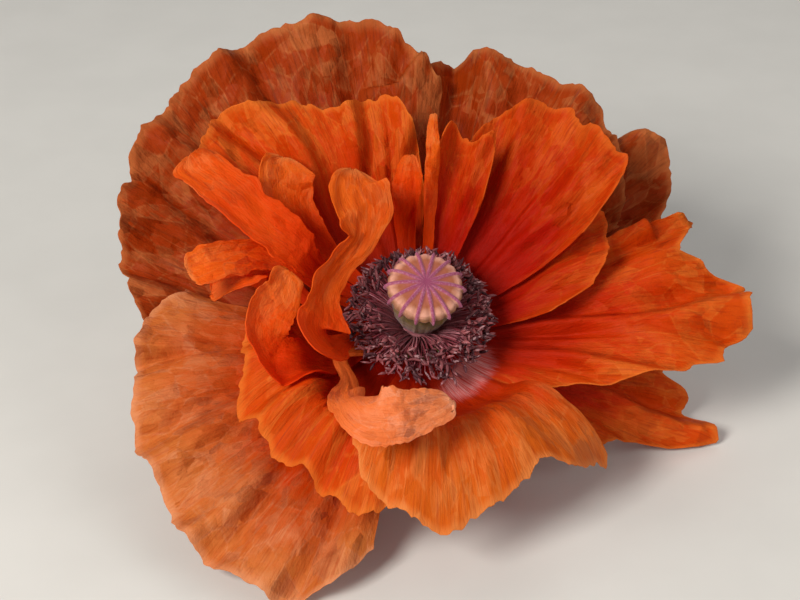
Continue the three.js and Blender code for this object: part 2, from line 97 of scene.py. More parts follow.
# %% [markdown]
# ## Smooth curves
#
# A petal's lean and rim change softly, and a few numbers each are enough to describe them. Blender's
# curve objects could hold them, but then every reading would go through a mesh. A short spline function
# reads them at any place, for one number or for a whole grid.

# %% Curves


def curve_through(values, x):
    """A smooth curve through evenly spaced values, read at x from 0 to 1."""
    values = np.asarray(values, float)
    last = len(values) - 1
    place = np.clip(x, 0, 1) * last
    i = np.minimum(place.astype(int), last - 1)
    t = place - i
    ends = np.concatenate([[2 * values[0] - values[1]], values, [2 * values[-1] - values[-2]]])
    a, b, c, d = (ends[i + k] for k in range(4))
    return b + 0.5 * t * (c - a + t * (2 * a - 5 * b + 4 * c - d + t * (3 * (b - c) + d - a)))


def ease(x):
    """0 below 0, 1 above 1, and a soft rise between."""
    x = np.clip(x, 0, 1)
    return x * x * (3 - 2 * x)


def blend(a, b, share):
    return a + (b - a) * share


def peak(off, wide):
    """1 in the middle, and straight down to 0 at wide to either side."""
    return np.maximum(0, 1 - np.abs(off) / wide)


print("halfway along a curve through 0, 1 and 4:", curve_through([0, 1, 4], np.array(0.5)))

# %% [markdown]
# ## Repeatable noise
#
# Tissue that was folded in a bud keeps irregular creases. Blender's noise textures could move vertices
# through a Displace modifier, but then petals that lie on one another would cut through each other.
# Noise written in numpy can be part of the petal's formula, so that each petal knows where the one
# behind it is. Each number is a fixed scramble of a whole-numbered place, the same on every run.

# %% Noise
FACET_BEND = 0.8  # how often the lines between facets bend, for each facet


def scramble(i, j, seed):
    """A number from 0 to 1 for each whole-numbered place."""
    n = (i.astype(np.int64) * 374761393 + j.astype(np.int64) * 668265263 + seed * 1274126177) & 0x7FFFFFFF
    n = ((n ^ (n >> 13)) * 1274126177) & 0x7FFFFFFF
    return ((n ^ (n >> 16)) & 0xFFFF) / 0xFFFF


def corners(x, y, seed):
    """The cell that holds each place, the place within it, and the numbers at its four corners."""
    i, j = np.floor(x), np.floor(y)
    four = [scramble(i + a, j + b, seed) for a, b in ((0, 0), (1, 0), (0, 1), (1, 1))]
    return i, j, x - i, y - j, four


def ripples(x, y, seed):
    """Soft noise from 0 to 1."""
    _, _, f, g, (a, b, c, d) = corners(x, y, seed)
    f, g = ease(f), ease(g)
    return blend(blend(a, b, f), blend(c, d, f), g)


def facets(x, y, seed):
    """Crumpled tissue: flat facets that meet in sharp creases. Gives their height, and for each a number
    from 0 to 1 that the petals' finish turns into painted highlights on some facets.
    """
    bend_x = ripples(FACET_BEND * x, FACET_BEND * y, seed + 1)
    bend_y = ripples(FACET_BEND * x + 7.3, FACET_BEND * y, seed + 2)
    i, j, f, g, (a, b, c, d) = corners(x + bend_x, y + bend_y, seed)
    rising = scramble(i, j, seed + 3) > 0.5  # which diagonal splits the cell
    first = np.where(rising, f > g, f + g < 1)
    height = np.where(
        rising,
        np.where(first, a + f * (b - a) + g * (d - b), a + g * (c - a) + f * (d - c)),
        np.where(first, a + f * (b - a) + g * (c - a), d + (1 - f) * (c - d) + (1 - g) * (b - d)),
    )
    return height, scramble(2 * i + first, 2 * j + rising, seed + 4)


def zigzag(x):
    """Up and down between 0 and 1 in straight runs, once for each unit of x."""
    return np.abs(2 * (x - np.floor(x)) - 1)


sample_height, _ = facets(*np.meshgrid(np.linspace(0, 9, 50), np.linspace(0, 9, 50)), 5)
print("facets from", round(sample_height.min(), 2), "to", round(sample_height.max(), 2))

# %% [markdown]
# ## The broad petals' list
#
# This poppy has more petals than the usual four to six: broad ruffled ones in layers, and narrow ones
# among them. Each broad petal is a fan. The same numbers as in the solids give where it points, how wide
# it fans, its rim, its lean from root to rim, and its pleats. Two more columns belong to this dressing:
# how deep its creases are and how ragged its rim is. A table keeps the petals comparable, which twelve
# separate sculpts would not.

# %% The broad petals, from the back of the bloom to the front
ROOT = 7.3  # distance at which every petal starts: the receptacle and a small gap
CLAW = 0.85  # a petal's share of its angular width at the root
FAN = 45.0  # distance at which a crease's width across the petal is true

# name: azimuth, half width, length, rim, lean, tilt, cup, pleats, fold depth, phase, crease depth, ragged
BROAD_PETALS = {
    "back_lobe": (34, 16, 79, [0.75, 0.88, 0.88, 0.99, 1.04, 1.02, 0.86], [106, 98, 92, 88],
                  0, 3, 2, 3.0, 1.0, 6.0, 3.0),
    "back_right": (63, 32, 71, [0.82, 0.96, 1.07, 1.1, 1.1, 1.07, 0.86], [106, 97, 90, 83],
                   0, 2, 4, 2.2, 0.4, 7.0, 3.4),
    "back_left": (133, 48, 84, [0.8, 0.96, 1.02, 1.03, 1.01, 0.98, 0.93, 0.86, 0.77], [106, 98, 90, 82],
                  3, 2, 6, 2.7, 0.0, 7.5, 3.0),
    "low_right": (-13, 21, 78, [0.58, 0.66, 0.69, 0.79, 1.05, 0.985, 0.905, 0.8],
                  [108, 109, 110, 109.6], 0, 0, 3.5, 2.6, 2.0, 4.0, 3.4),
    "low_left": (216, 45, 75, [0.74, 0.86, 0.895, 0.945, 0.945, 0.98, 0.973, 0.935, 0.72],
                 [104, 96, 91, 93], 0, 0, 6, 2.6, 1.3, 5.0, 1.8),
    "right": (-6, 34, 78, [0.3, 0.33, 0.36, 0.41, 0.47, 0.55, 0.66, 0.77, 0.875, 0.95, 1.025, 1.015,
                           1.02, 0.92, 0.87, 0.935, 0.9],
              [96, 86, 82, 85], 0, 0, 5, 3.6, 0.5, 5.5, 3.6),
    "mid_left": (226, 43, 56, [0.77, 0.795, 0.85, 0.9, 0.903, 0.912, 0.927, 0.95, 0.74],
                 [94, 80, 62, 84], 0, 4, 5, 2.8, 0.2, 4.0, 1.2),
    "front": (-74, 42, 59, [0.7, 0.85, 0.905, 0.95, 0.895, 0.86, 0.825, 0.88, 0.9],
              [94, 88, 62, 66, 84], 7, -10, 2.6, 1.8, 1.0, 5.0, 1.3),
    "mid_right": (23, 18, 54, [0.6, 0.78, 0.92, 0.96, 0.98, 0.8], [88, 80, 72, 74],
                  0, 3, 2, 2.2, 0.2, 5.0, 2.6),
    "mid_upper_left": (120, 33, 66, [0.5, 0.84, 0.86, 0.88, 0.95, 1.03, 1.05, 1.02], [92, 80, 66, 68],
                       0, 4, 4, 2.8, 0.6, 6.0, 3.0),
    "inner_right": (50, 26, 63, [0.75, 1, 1.03, 1.02, 1, 0.92, 0.75], [86, 78, 66, 60],
                    0, 5, 3, 2.2, 0.9, 6.5, 3.0),
    "inner_top": (75, 13, 52, [0.7, 0.99, 0.93, 0.92, 1, 0.75], [80, 70, 58, 52],
                  0, 6, 1.5, 1.6, 0.3, 3.6, 2.0),
}


class BroadPetal:
    """One row of the list, with its columns by name."""

    def __init__(self, order, name, row):
        self.order, self.name, self.seed = order, name, 100 * (order + 1)
        (self.azimuth, self.half_width, self.length, self.rim, self.lean, self.tilt, self.cup,
         self.pleats, self.fold, self.phase, self.crease, self.ragged) = row

    def aside(self, azimuth):
        """Degrees from the petal's middle line."""
        return (azimuth - self.azimuth + 180) % 360 - 180

    def rim_at(self, q):
        """Distance of the rim, for q from -1 to 1 across the fan."""
        return self.length * curve_through(self.rim, (q + 1) / 2)

    def risen(self, distance):
        """0 at the root and 1 at the petal's length."""
        return (distance - ROOT) / (self.length - ROOT)


petals = [BroadPetal(order, name, row) for order, (name, row) in enumerate(BROAD_PETALS.items())]
print(len(petals), "broad petals, the longest", max(p.length for p in petals), "mm")

# %% [markdown]
# ## Points and grooves
#
# Some petals have a torn, pointed rim, and two neighbouring folds can pinch a narrow groove between them.
# More numbers in a rim would make points, but round ones. A short list of peaks keeps them sharp, and
# the same peak, turned over, sinks a groove.

# %% Points of the rims and grooves between folds
# points: azimuth, height in mm and half width in degrees
RIM_POINTS = {
    "right": [(26.5, 5.5, 2.6), (11, 3.5, 2.0), (1.5, 1.5, 1.6), (-4.5, 4, 2.2)],
    "low_right": [(-9, 1.5, 1.6), (-1, 2.5, 2)],
    "front": [(-34, 2, 2.5)],
}
# grooves: azimuth, depth in mm and half width in degrees
GROOVES = {"right": [(1.5, 3.2, 3.4)], "mid_upper_left": [(101, 2.2, 3)], "back_right": [(83, 3, 3)]}
print(sum(map(len, RIM_POINTS.values())), "points and", sum(map(len, GROOVES.values())), "grooves")

# %% [markdown]
# ## How petals lie on one another
#
# A soft petal drops until it meets the one behind it. A cloth simulation of twelve touching sheets would
# be slow and could come out differently each time. Here each petal first gets the lean that it would
# have alone, and then takes the lesser of that and the lean of the petal behind it less one layer,
# rounded off where the two meet. It is the same rule as in the solids, so every fine petal stays round
# its own solid.

# %% The settling rule
LAYER_AT_ROOT = 1.3  # mm from one petal to the next that lies on it
LAYER_AT_RIM = 2.5
LAYERS_OPEN = 25  # mm over which the layers spread from root to rim
WANDER, WANDER_RUN = 0.9, 9  # how far folds wander sideways, in radians, and over how many mm
FREED = (15, 60)  # degrees by which a petal is let go beside another, at the root and at the rim


def free_lean(petal, distance, azimuth):
    """The lean that a petal would have if it lay on nothing."""
    u = np.clip(petal.risen(distance), 0, 1.1)
    q = np.clip(petal.aside(azimuth) / petal.half_width, -1.25, 1.25)
    wander = WANDER * np.sin(distance / WANDER_RUN + 3 * petal.phase + 1.5 * q)
    turn = petal.pleats * math.pi * q + petal.phase + wander
    fold = petal.fold * u**1.4 * (np.sin(turn) + 0.45 * np.sin(1.7 * turn + 1.9))
    lean = curve_through(petal.lean, u) + u * (petal.tilt * q - petal.cup * q * q)
    return lean + np.degrees(fold / distance)


def clear_of(petal, distance, azimuth):
    """How far a place is outside a petal's outline: 0 over it, 1 or more clear of it."""
    aside = petal.aside(azimuth)
    beyond = distance - petal.rim_at(np.clip(aside / petal.half_width, -1, 1)) - 4
    return np.maximum(0, np.maximum((np.abs(aside) - petal.half_width - 5) / 12, beyond / 10))


def lesser(a, b, rounding=3):
    """The lesser of two leans, rounded off where they meet."""
    near = np.maximum(0, 1 - np.abs(a - b) / rounding)
    return np.minimum(a, b) - rounding * near * near / 4


def lying_on(settled, distance, azimuth, lean):
    """The lean of a piece on settled petals, where it would otherwise have a lean of its own."""
    share = ease((distance - ROOT) / LAYERS_OPEN)
    step = np.degrees(blend(LAYER_AT_ROOT, LAYER_AT_RIM, share) / distance)
    freed = blend(*FREED, share)
    for petal, behind in zip(petals, settled):
        clear = clear_of(petal, distance, azimuth)
        pressed = lesser(lean, behind - step + freed * ease(clear))
        lean = np.where(clear < 1, pressed, lean)
    return lean


print("back_left alone leans", np.round(free_lean(petals[2], np.array([20.0, 50, 80]), 130.0), 1))

# %% [markdown]
# ## Creases
#
# A poppy opens in a morning, so its petals keep the creases of the bud: long folds towards the rim,
# others that cross them aslant, and small flat facets between. Sculpting them would take days. Here they
# are zigzags and facets of three sizes, added in one formula. They are part of the settling, so that a
# petal also lies on the creases of the one behind it.

# %% Creases that belong to the settling
# facets: mm along and across the petal, share of the height, share of the painted highlight on facets
FACETS = [(12, 6, 0.34, 0.6), (5, 2.8, 0.2, 0.25), (2.4, 1.4, 0.12, 0.15)]
FOLD_SHARE = 0.17  # of the height, for the long folds and again for the slanting ones


def crumple(along, aside, seed):
    """Creases from places in mm along a petal and across it: their height, and the strength of the painted
    highlight on their facets, from 0 to 1.
    """
    wander = 10 * (ripples(along / 17, aside / 12, seed + 5) - 0.5)
    share = ripples(along / 15, aside / 9, seed + 6)
    folds = blend(0.5, zigzag((aside + wander) / 9), share)
    slants = blend(0.5, zigzag((0.7 * aside + 0.55 * along + 1.4 * wander) / 12), 1 - share)
    height, tone = FOLD_SHARE * folds + FOLD_SHARE * slants, 0
    for k, (long, wide, high, bright) in enumerate(FACETS):
        facet_height, facet_painted_glint = facets(along / long, aside / wide, seed + 20 * k)
        height, tone = height + high * facet_height, tone + bright * facet_painted_glint
    return height, tone


def creases(petal, distance, azimuth):
    """How far a petal's creases lift it, in mm, with their height and the strength of their facets' painted
    highlight.
    """
    height, tone = crumple(distance, np.radians(petal.aside(azimuth)) * FAN, petal.seed)
    u = np.clip(petal.risen(distance), 0, 1)
    depth = petal.crease * u**1.1 * (0.45 + 0.55 * ease((u - 0.45) / 0.5))
    lift = depth * (height - 0.5)
    for middle, sunk, wide in GROOVES.get(petal.name, []):
        lift = lift - sunk * ease(u / 0.6) * peak(petal.aside(azimuth) + petal.azimuth - middle, wide)
    return lift, height, tone


def settle(count, distance, azimuth):
    """The leans of the first count petals with their creases, each lying on those before it."""
    settled = []
    for petal in petals[:count]:
        lean = lying_on(settled, distance, azimuth, free_lean(petal, distance, azimuth))
        settled.append(lean - np.degrees(creases(petal, distance, azimuth)[0] / distance))
    return settled


print("lean of each petal 40 mm out at azimuth 50:", np.round(np.array(settle(12, 40.0, 50.0)), 1))

# %% [markdown]
# ## Turning numbers into meshes
#
# What Blender wants is a mesh: points, and faces that name their points. An operator could add one
# object after another, but arrays written straight into the mesh are quicker and come out the same each
# time. Each piece also carries named numbers on its points, so-called attributes, that a finish can
# read, and it says which solid it replaces.

# %% One piece from points and faces


def make_piece(name, points, faces, values, finish, node):
    """One mesh from points in mm, arrays of faces and named values, that stands for a node."""
    mesh = bpy.data.meshes.new(name)
    mesh.vertices.add(len(points))
    mesh.vertices.foreach_set("co", (points * MM).astype(np.float32).ravel())
    loops = np.concatenate([part.ravel() for part in faces]).astype(np.int32)
    sizes = np.concatenate([np.full(len(part), part.shape[1]) for part in faces])
    mesh.loops.add(len(loops))
    mesh.loops.foreach_set("vertex_index", loops)
    mesh.polygons.add(len(sizes))
    mesh.polygons.foreach_set("loop_start", (np.cumsum(sizes) - sizes).astype(np.int32))
    mesh.update(calc_edges=True)
    mesh.validate()
    mesh.shade_smooth()
    for key, data in values.items():
        vector = data.ndim == 2
        attribute = mesh.attributes.new(key, "FLOAT_VECTOR" if vector else "FLOAT", "POINT")
        attribute.data.foreach_set("vector" if vector else "value", data.astype(np.float32).ravel())
    mesh.materials.append(finish)
    piece = bpy.data.objects.new(name, mesh)
    bpy.context.scene.collection.objects.link(piece)
    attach(piece, "root")
    if node:
        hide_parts(node)
    print(f"{name}: {len(mesh.loops) - 2 * len(mesh.polygons)} triangles")
    return piece


print("each piece rides on the root body; a finish reads numbers such as 'reach' from its points")

# %% [markdown]
# ## Thin sheets
#
# A petal here is a grid of points, and a real one has two faces and an edge all round. A Solidify
# modifier could thicken a single sheet, but it has to be applied before the export and rounds off where
# folds are tight. So each point of the grid is doubled, half a thickness to either side, and the two
# faces are joined round the rim. One more row just inside the rim keeps its edge crisp.

# %% Thin sheets from grids
SHEET_THICKNESS = 0.28  # of a petal


def unit(vectors):
    return vectors / np.maximum(np.linalg.norm(vectors, axis=-1, keepdims=True), 1e-9)


def sheet(grid, values):
    """A closed thin sheet round a grid of points: its points, its faces and its values."""
    rows, columns = grid.shape[:2]
    upward = unit(np.cross(np.gradient(grid, axis=0), np.gradient(grid, axis=1)))
    points = np.concatenate([(grid + upward * SHEET_THICKNESS / 2).reshape(-1, 3),
                             (grid - upward * SHEET_THICKNESS / 2).reshape(-1, 3)])
    at = np.arange(rows * columns).reshape(rows, columns)
    under = at + rows * columns
    inner = np.stack([at[:-1, :-1], at[1:, :-1], at[1:, 1:], at[:-1, 1:]], -1).reshape(-1, 4)
    outer = np.stack([under[:-1, :-1], under[:-1, 1:], under[1:, 1:], under[1:, :-1]], -1).reshape(-1, 4)
    edge = np.concatenate([at[:, 0], at[-1, 1:], at[-2::-1, -1], at[0, -2:0:-1]])
    following = np.roll(edge, -1)
    rim = np.stack([edge, edge + rows * columns, following + rows * columns, following], -1)
    both = {key: np.concatenate([data.reshape(rows * columns, *data.shape[2:])] * 2)
            for key, data in values.items()}
    return points, [inner, outer, rim], both


def shares(count, edge, ends=1):
    """Evenly spaced shares from 0 to 1, with one more just inside the last, or both, ends."""
    inside = [edge] if ends == 2 else []
    return np.unique(np.concatenate([np.linspace(0, 1, count + 1), inside, [1 - edge]]))


sample_grid = np.random.default_rng(1).random((3, 4, 3))
print("a sheet of 3 by 4 points has", sum(len(part) for part in sheet(sample_grid, {})[1]), "faces")

# %% [markdown]
# ## Finishes as small programs
#
# A material is a graph of nodes. Dragging them by hand is fine for one, but this flower needs many that
# differ in a few numbers. A short class keeps the graph readable as an expression: it wraps an output
# socket, and sums and products on it add Math nodes.

# %% An output socket that can be reckoned with


class Output:
    """An output socket of a node. Sums and products with numbers or other outputs add Math nodes."""

    def __init__(self, finish, socket):
        self.finish, self.socket = finish, socket

    def maths(self, operation, *values):
        return self.finish.node("ShaderNodeMath", {"operation": operation}, dict(enumerate(values)))

    def __add__(self, other):
        return self.maths("ADD", self, other)

    def __sub__(self, other):
        return self.maths("SUBTRACT", self, other)

    def __rsub__(self, other):
        return self.maths("SUBTRACT", other, self)

    def __mul__(self, other):
        return self.maths("MULTIPLY", self, other)

    __radd__, __rmul__ = __add__, __mul__

    def between(self, low, high):
        """0 below low, 1 above high, and a soft rise between."""
        settings = {"interpolation_type": "SMOOTHSTEP", "clamp": True}
        values = {"Value": self, "From Min": low, "From Max": high}
        return self.finish.node("ShaderNodeMapRange", settings, values)


def paint(code):
    """The linear colour, as a shader wants it, of a screen colour such as 'e35a18'."""
    channels = [int(code[k : k + 2], 16) / 255 for k in (0, 2, 4)]
    return (*[c / 12.92 if c <= 0.04045 else ((c + 0.055) / 1.055) ** 2.4 for c in channels], 1)


print("bright petal orange in linear light:", [round(c, 3) for c in paint("f06a14")])

# %% [markdown]
# ## The nodes that the finishes share
#
# Colours are mixed with a Mix node, since a Math node would turn them grey, and directions are moved and
# stretched with Vector Math. Every other node comes from one method that takes its type, its settings
# and its inputs. Two methods are for crumpled tissue: a patchwork gives each small patch a random
# colour, and the tilted normal leans each patch its own way, so that it catches the light for itself.

# %% A finish, made node by node


class Finish:
    """A material that is being made, node by node."""

    def __init__(self, name):
        self.material = bpy.data.materials.new(name)
        self.material.use_nodes = True
        self.tree = self.material.node_tree
        self.tree.nodes.clear()

    def node(self, kind, settings=None, values=None, output=0):
        """Adds a node, sets its settings and then its inputs, and gives one of its outputs."""
        made = self.tree.nodes.new(kind)
        for key, value in (settings or {}).items():
            if key == "stops":
                stops = made.color_ramp.elements
                while len(stops) < len(value):
                    stops.new(0.5)
                for stop, (place, colour) in zip(stops, value):
                    stop.position, stop.color = place, colour
            else:
                setattr(made, key, value)
        for key, value in (values or {}).items():
            if isinstance(value, Output):
                self.tree.links.new(value.socket, made.inputs[key])
            else:
                made.inputs[key].default_value = value
        return Output(self, made.outputs[output]) if made.outputs else None

    def value(self, name, output="Fac"):
        """A named number from the mesh."""
        return self.node("ShaderNodeAttribute", {"attribute_name": name}, output=output)

    def position(self):
        """Where a point is on its own piece, in metres."""
        return self.node("ShaderNodeTexCoord", output="Object")

    def ramp(self, share, *stops):
        """Colours along a share: each stop is a place and a paint code."""
        stops = [(at, paint(code)) for at, code in stops]
        return self.node("ShaderNodeValToRGB", {"stops": stops}, {"Fac": share})

    def mix(self, share, a, b):
        """Colour a, turned into b where share is 1."""
        a, b = (paint(c) if isinstance(c, str) else c for c in (a, b))
        return self.node("ShaderNodeMix", {"data_type": "RGBA"}, {0: share, 6: a, 7: b}, output=2)

    def vectors(self, operation, a, b):
        """Vector Math; b is a number where a is scaled by it."""
        values = {0: a, "Scale" if operation == "SCALE" else 1: b}
        return self.node("ShaderNodeVectorMath", {"operation": operation}, values)

    def noise(self, vector, scale, detail=2.0, roughness=0.5):
        values = {"Vector": vector, "Scale": scale, "Detail": detail, "Roughness": roughness}
        return self.node("ShaderNodeTexNoise", None, values)

    def patchwork(self, vector, x, y, feature="F1", output="Color"):
        """Angular patches as wide and long as x and y in mm: a random colour each, or how far an edge is."""
        values = {"Vector": self.vectors("MULTIPLY", vector, (1 / x, 1 / y, 1)), "Scale": 1.0}
        return self.node("ShaderNodeTexVoronoi", {"feature": feature}, values, output)

    def bump(self, height, distance, normal=None):
        values = {"Height": height, "Distance": distance * MM}
        return self.node("ShaderNodeBump", None, {**values, "Normal": normal} if normal else values)

    def tilted(self, share, *patches):
        """The normal, leaned on each patch by its random colour and a strength."""
        normal = self.node("ShaderNodeNewGeometry", output="Normal")
        for colour, strength in patches:
            centred = self.vectors("ADD", colour, (-0.5, -0.5, -0.5))
            normal = self.vectors("ADD", normal, self.vectors("SCALE", centred, share * strength))
        return self.node("ShaderNodeVectorMath", {"operation": "NORMALIZE"}, {0: normal})

    def skin(self, colour, roughness, specular, others=None):
        """The usual opaque shader, with any other inputs by name."""
        values = {"Base Color": colour, "Roughness": roughness, "Specular IOR Level": specular}
        return self.node("ShaderNodeBsdfPrincipled", None, {**values, **(others or {})})

    def surface(self, shader):
        self.node("ShaderNodeOutputMaterial", None, {"Surface": shader})
        print(f"finish {self.material.name}: {len(self.tree.nodes)} nodes")
        return self.material


print("methods for finishes:", [name for name in vars(Finish) if not name.startswith("_")])

# %% [markdown]
# ## The petals' finish
#
# A poppy petal is a few cells thick, like tissue paper. It is deep red at the root, where light has to pass
# many layers, and turns orange and then paler towards the rim. A picture painted on it would blur close up,
# so a ramp colours it from root to rim. Long noise gives streaks and veins. The creases' heights from the
# mesh give painted highlights on ridges and painted shade in hollows. A patchwork with tilted normals makes
# the flat facets of crumpled tissue, with painted highlights on some facets and thin painted highlights
# along their edges and along the rim. A patch by the stamens is blushed pink. One shader is the skin, and a
# translucent one lets light through from behind.

# %% A finish for petals
PATCH, SMALL_PATCH = (3.4, 9), (1.4, 3.4)  # width and length in mm
PATCH_TILT, SMALL_PATCH_TILT = 0.34, 0.44
BLUSH_PALE, BLUSH_DEEP = "fcc4c4", "e2605a"


def petal_colour(finish, paints, patches, place, streaks, wide, narrow):
    """The colour of a petal, with painted highlights on its facets, ridges and rim and painted shade in its
    creases' hollows, and where its ridges are.
    """
    root, body, rim, pale, deep = paints.split()
    reach, height, tone, blush = (finish.value(key) for key in ("reach", "height", "tone", "blush"))
    clouds = finish.noise(finish.vectors("MULTIPLY", place, (0.09, 0.06, 1)), 1, 3, 0.55)
    veins = finish.noise(finish.vectors("MULTIPLY", place, (4.2, 0.16, 1)), 1, 2, 0.5)
    edges = finish.patchwork(place, *PATCH, "DISTANCE_TO_EDGE", "Distance")

    along = reach + 0.5 * (clouds - 0.5) + 0.22 * (streaks - 0.5)
    colour = finish.ramp(along, (0.08, root), (0.52, body), (0.92, rim))
    # Painted highlight: pale patches on some facets, as if they caught the light.
    patch = 0.46 * tone + 0.2 * wide.between(0.3, 0.7) + 0.14 * narrow.between(0.3, 0.7)
    patch = (patch + 0.5 * (streaks - 0.3)).between(0.42, 0.75)
    colour = finish.mix(patch * reach.between(0.35, 0.95) * patches, colour, pale)
    # Painted highlight: the creases' ridges are paler, as if they caught the light.
    ridge = height.between(0.55, 0.85) * reach.between(0.3, 0.9) * patches
    colour = finish.mix(0.6 * ridge, colour, pale)
    # Painted highlight: thin pale lines along the facets' edges, where creases catch the light.
    crease_edge_highlight = (1 - edges.between(0.0, 0.05)) * reach.between(0.4, 0.9)
    colour = finish.mix(0.65 * crease_edge_highlight * streaks.between(0.4, 0.55) * patches, colour, pale)
    # Painted shade: a deeper colour in the creases' hollows, over the inner part of the petal. The deeper
    # streaks and veins mixed in after it are the petal's own.
    hollow_shade = (1 - height).between(0.5, 0.95) * reach.between(0.15, 0.6)
    for share in (0.35 * hollow_shade, 0.45 * streaks.between(0.52, 0.72), 0.35 * veins.between(0.5, 0.7)):
        colour = finish.mix(share, colour, deep)
    # Painted highlight: a thin pale line along the rim.
    colour = finish.mix(0.55 * reach.between(0.962, 0.998), colour, pale)
    pink = finish.mix(streaks.between(0.42, 0.62), BLUSH_PALE, BLUSH_DEEP)
    blushed = (blush + 1.2 * (streaks - 0.5) + 1.2 * (veins - 0.5)).between(0.3, 0.9)
    return finish.mix(blushed * 0.75, colour, pink), ridge, veins


def petal_finish(name, paints, patches, through, glow):
    """Five paints: at the root, in the middle, at the rim, for the painted highlights on facets, ridges and
    rim, and for deep veins, streaks and the painted shade in hollows. Patches is how much the painted
    highlights on facets, ridges and their edges show, and through is the share of light that passes, in the
    colour glow."""
    finish = Finish(name)
    place, reach = finish.value("place", "Vector"), finish.value("reach")
    streaks = finish.noise(finish.vectors("MULTIPLY", place, (1.5, 0.07, 1)), 1, 3, 0.6)
    crepe = finish.noise(finish.vectors("MULTIPLY", place, (2.2, 0.75, 1)), 1, 3, 0.6)
    wide, narrow = finish.patchwork(place, *PATCH), finish.patchwork(place, *SMALL_PATCH)
    colour, ridge, veins = petal_colour(finish, paints, patches, place, streaks, wide, narrow)
    facing = finish.tilted(reach.between(0, 0.6), (wide, PATCH_TILT), (narrow, SMALL_PATCH_TILT))
    normal = finish.bump(0.6 * crepe + 0.25 * streaks + 0.15 * veins, 0.4, facing)
    skin = finish.skin(colour, 0.56 - 0.14 * ridge + 0.12 * (crepe - 0.5), 0.1, {"Normal": normal})
    behind = finish.node("ShaderNodeBsdfTranslucent", None, {"Color": paint(glow), "Normal": normal})
    return finish.surface(finish.node("ShaderNodeMixShader", None, {0: through, 1: skin, 2: behind}))


print("patches are", PATCH, "and", SMALL_PATCH, "mm")

# %% [markdown]
# ## Seven kinds of tissue
#
# Petals of one bloom aren't alike: the outer ones at the back are painted a darker brownish orange, which is
# painted shade, since less light reaches them there; the low left one is painted a paler salmon, partly its
# own colour and partly painted light, since it faces the light; the front one is a golden orange, partly
# painted highlight; the inner ones are scarlet at the root, and the small pale petaloid in front is almost
# pink.
# They share one finish and differ in its paints, which a table shows side by side.

# %% The petals' paints
PETAL_PAINTS = {
    # The back petals' darker brownish paints are painted shade, the low left petal's paler salmon is partly
    # painted light, and the front petal's golden paints are partly painted highlight.
    "petal_outer": ("tissue_weathered_orange", "7c1002 982a02 aa3c08 d07c44 4c0e02", 0.55, 0.28, "cc3802"),
    "petal_low": ("tissue_salmon", "a82a02 ca3c00 d47636 eaa070 b24408", 0.42, 0.26, "dc4c06"),
    "petal_middle": ("tissue_orange", "8c0600 cc2e02 da5006 f08630 962002", 0.5, 0.32, "f03e02"),
    "petal_front": ("tissue_golden_orange", "980a00 cc3a02 dc6814 f29a50 a43004", 0.45, 0.3, "f44a02"),
    "petal_inner": ("tissue_scarlet", "8a0500 bc1800 d04406 e87424 8a1000", 0.45, 0.34, "f42e01"),
    "petaloid": ("tissue_bright_orange", "c82402 e84a04 ee701a fc9e54 c03002", 0.4, 0.4, "ff5402"),
    "wing": ("tissue_pale_salmon", "da4804 ea7430 f28e56 ffb890 cc5c22", 0.45, 0.28, "ff701c"),
}
PETAL_FINISHES = {key: petal_finish(*row) for key, row in PETAL_PAINTS.items()}

# %% [markdown]
# ## The rims of the broad petals
#
# A rim that is too clean makes a petal look like plastic. Trimming a finished mesh would leave steps, so
# the rim is part of the grid: its last rows are drawn out to a line that is notched by soft noise, with
# sharp teeth and the points from the list on top.

# %% Ragged rims
BLUSH_AZIMUTH, BLUSH_DISTANCE = -38, 16.5  # middle of the pink patch near the root
BLUSH_WIDE, BLUSH_LONG = 38, 6  # degrees and mm


def ragged_rim(petal, q, turn):
    """Distance of the rim with its notches, teeth and points, for q across and turn in mm across."""
    notches = (0.55 * ripples(turn / 2.6, 0 * turn, petal.seed + 60)
               + 0.45 * facets(turn / 1.3, 0 * turn, petal.seed + 70)[0])
    teeth = facets(turn / 0.8, 0 * turn, petal.seed + 90)[0]
    rim = petal.rim_at(q) - petal.ragged * (notches - 0.5) - (0.4 + 0.25 * petal.ragged) * (teeth - 0.5)
    for middle, high, wide in RIM_POINTS.get(petal.name, []):
        rim = rim + high * peak(petal.azimuth + petal.half_width * q - middle, wide)
    return rim


def blush(distance, azimuth):
    """1 on the pink patch and 0 off it."""
    aside = (azimuth - BLUSH_AZIMUTH + 180) % 360 - 180
    return ease(1.25 - np.hypot(aside / BLUSH_WIDE, (distance - BLUSH_DISTANCE) / BLUSH_LONG))


print("blush in its middle:", blush(BLUSH_DISTANCE, BLUSH_AZIMUTH))

# %% [markdown]
# ## The broad petals
#
# Each petal fans out from the receptacle. A grid of points suits it, since veins and creases run along
# its rows and columns. It runs from root to rim and from side to side, and each point gets its lean from
# the settling rule, creases included. What would sink into the table is laid on it.

# %% Build the broad petals
CELL = 0.68  # size of a face at the rim
SLOTS = {
    "petal_outer": ["back_lobe", "back_right", "back_left", "low_left"],
    "petal_middle": ["low_right", "right", "mid_left", "front", "mid_upper_left"],
    "petal_inner": ["mid_right", "inner_right", "inner_top"],
}
slot_of = {name: slot for slot, names in SLOTS.items() for name in names}
finish_of = {**slot_of, "low_left": "petal_low", "front": "petal_front"}


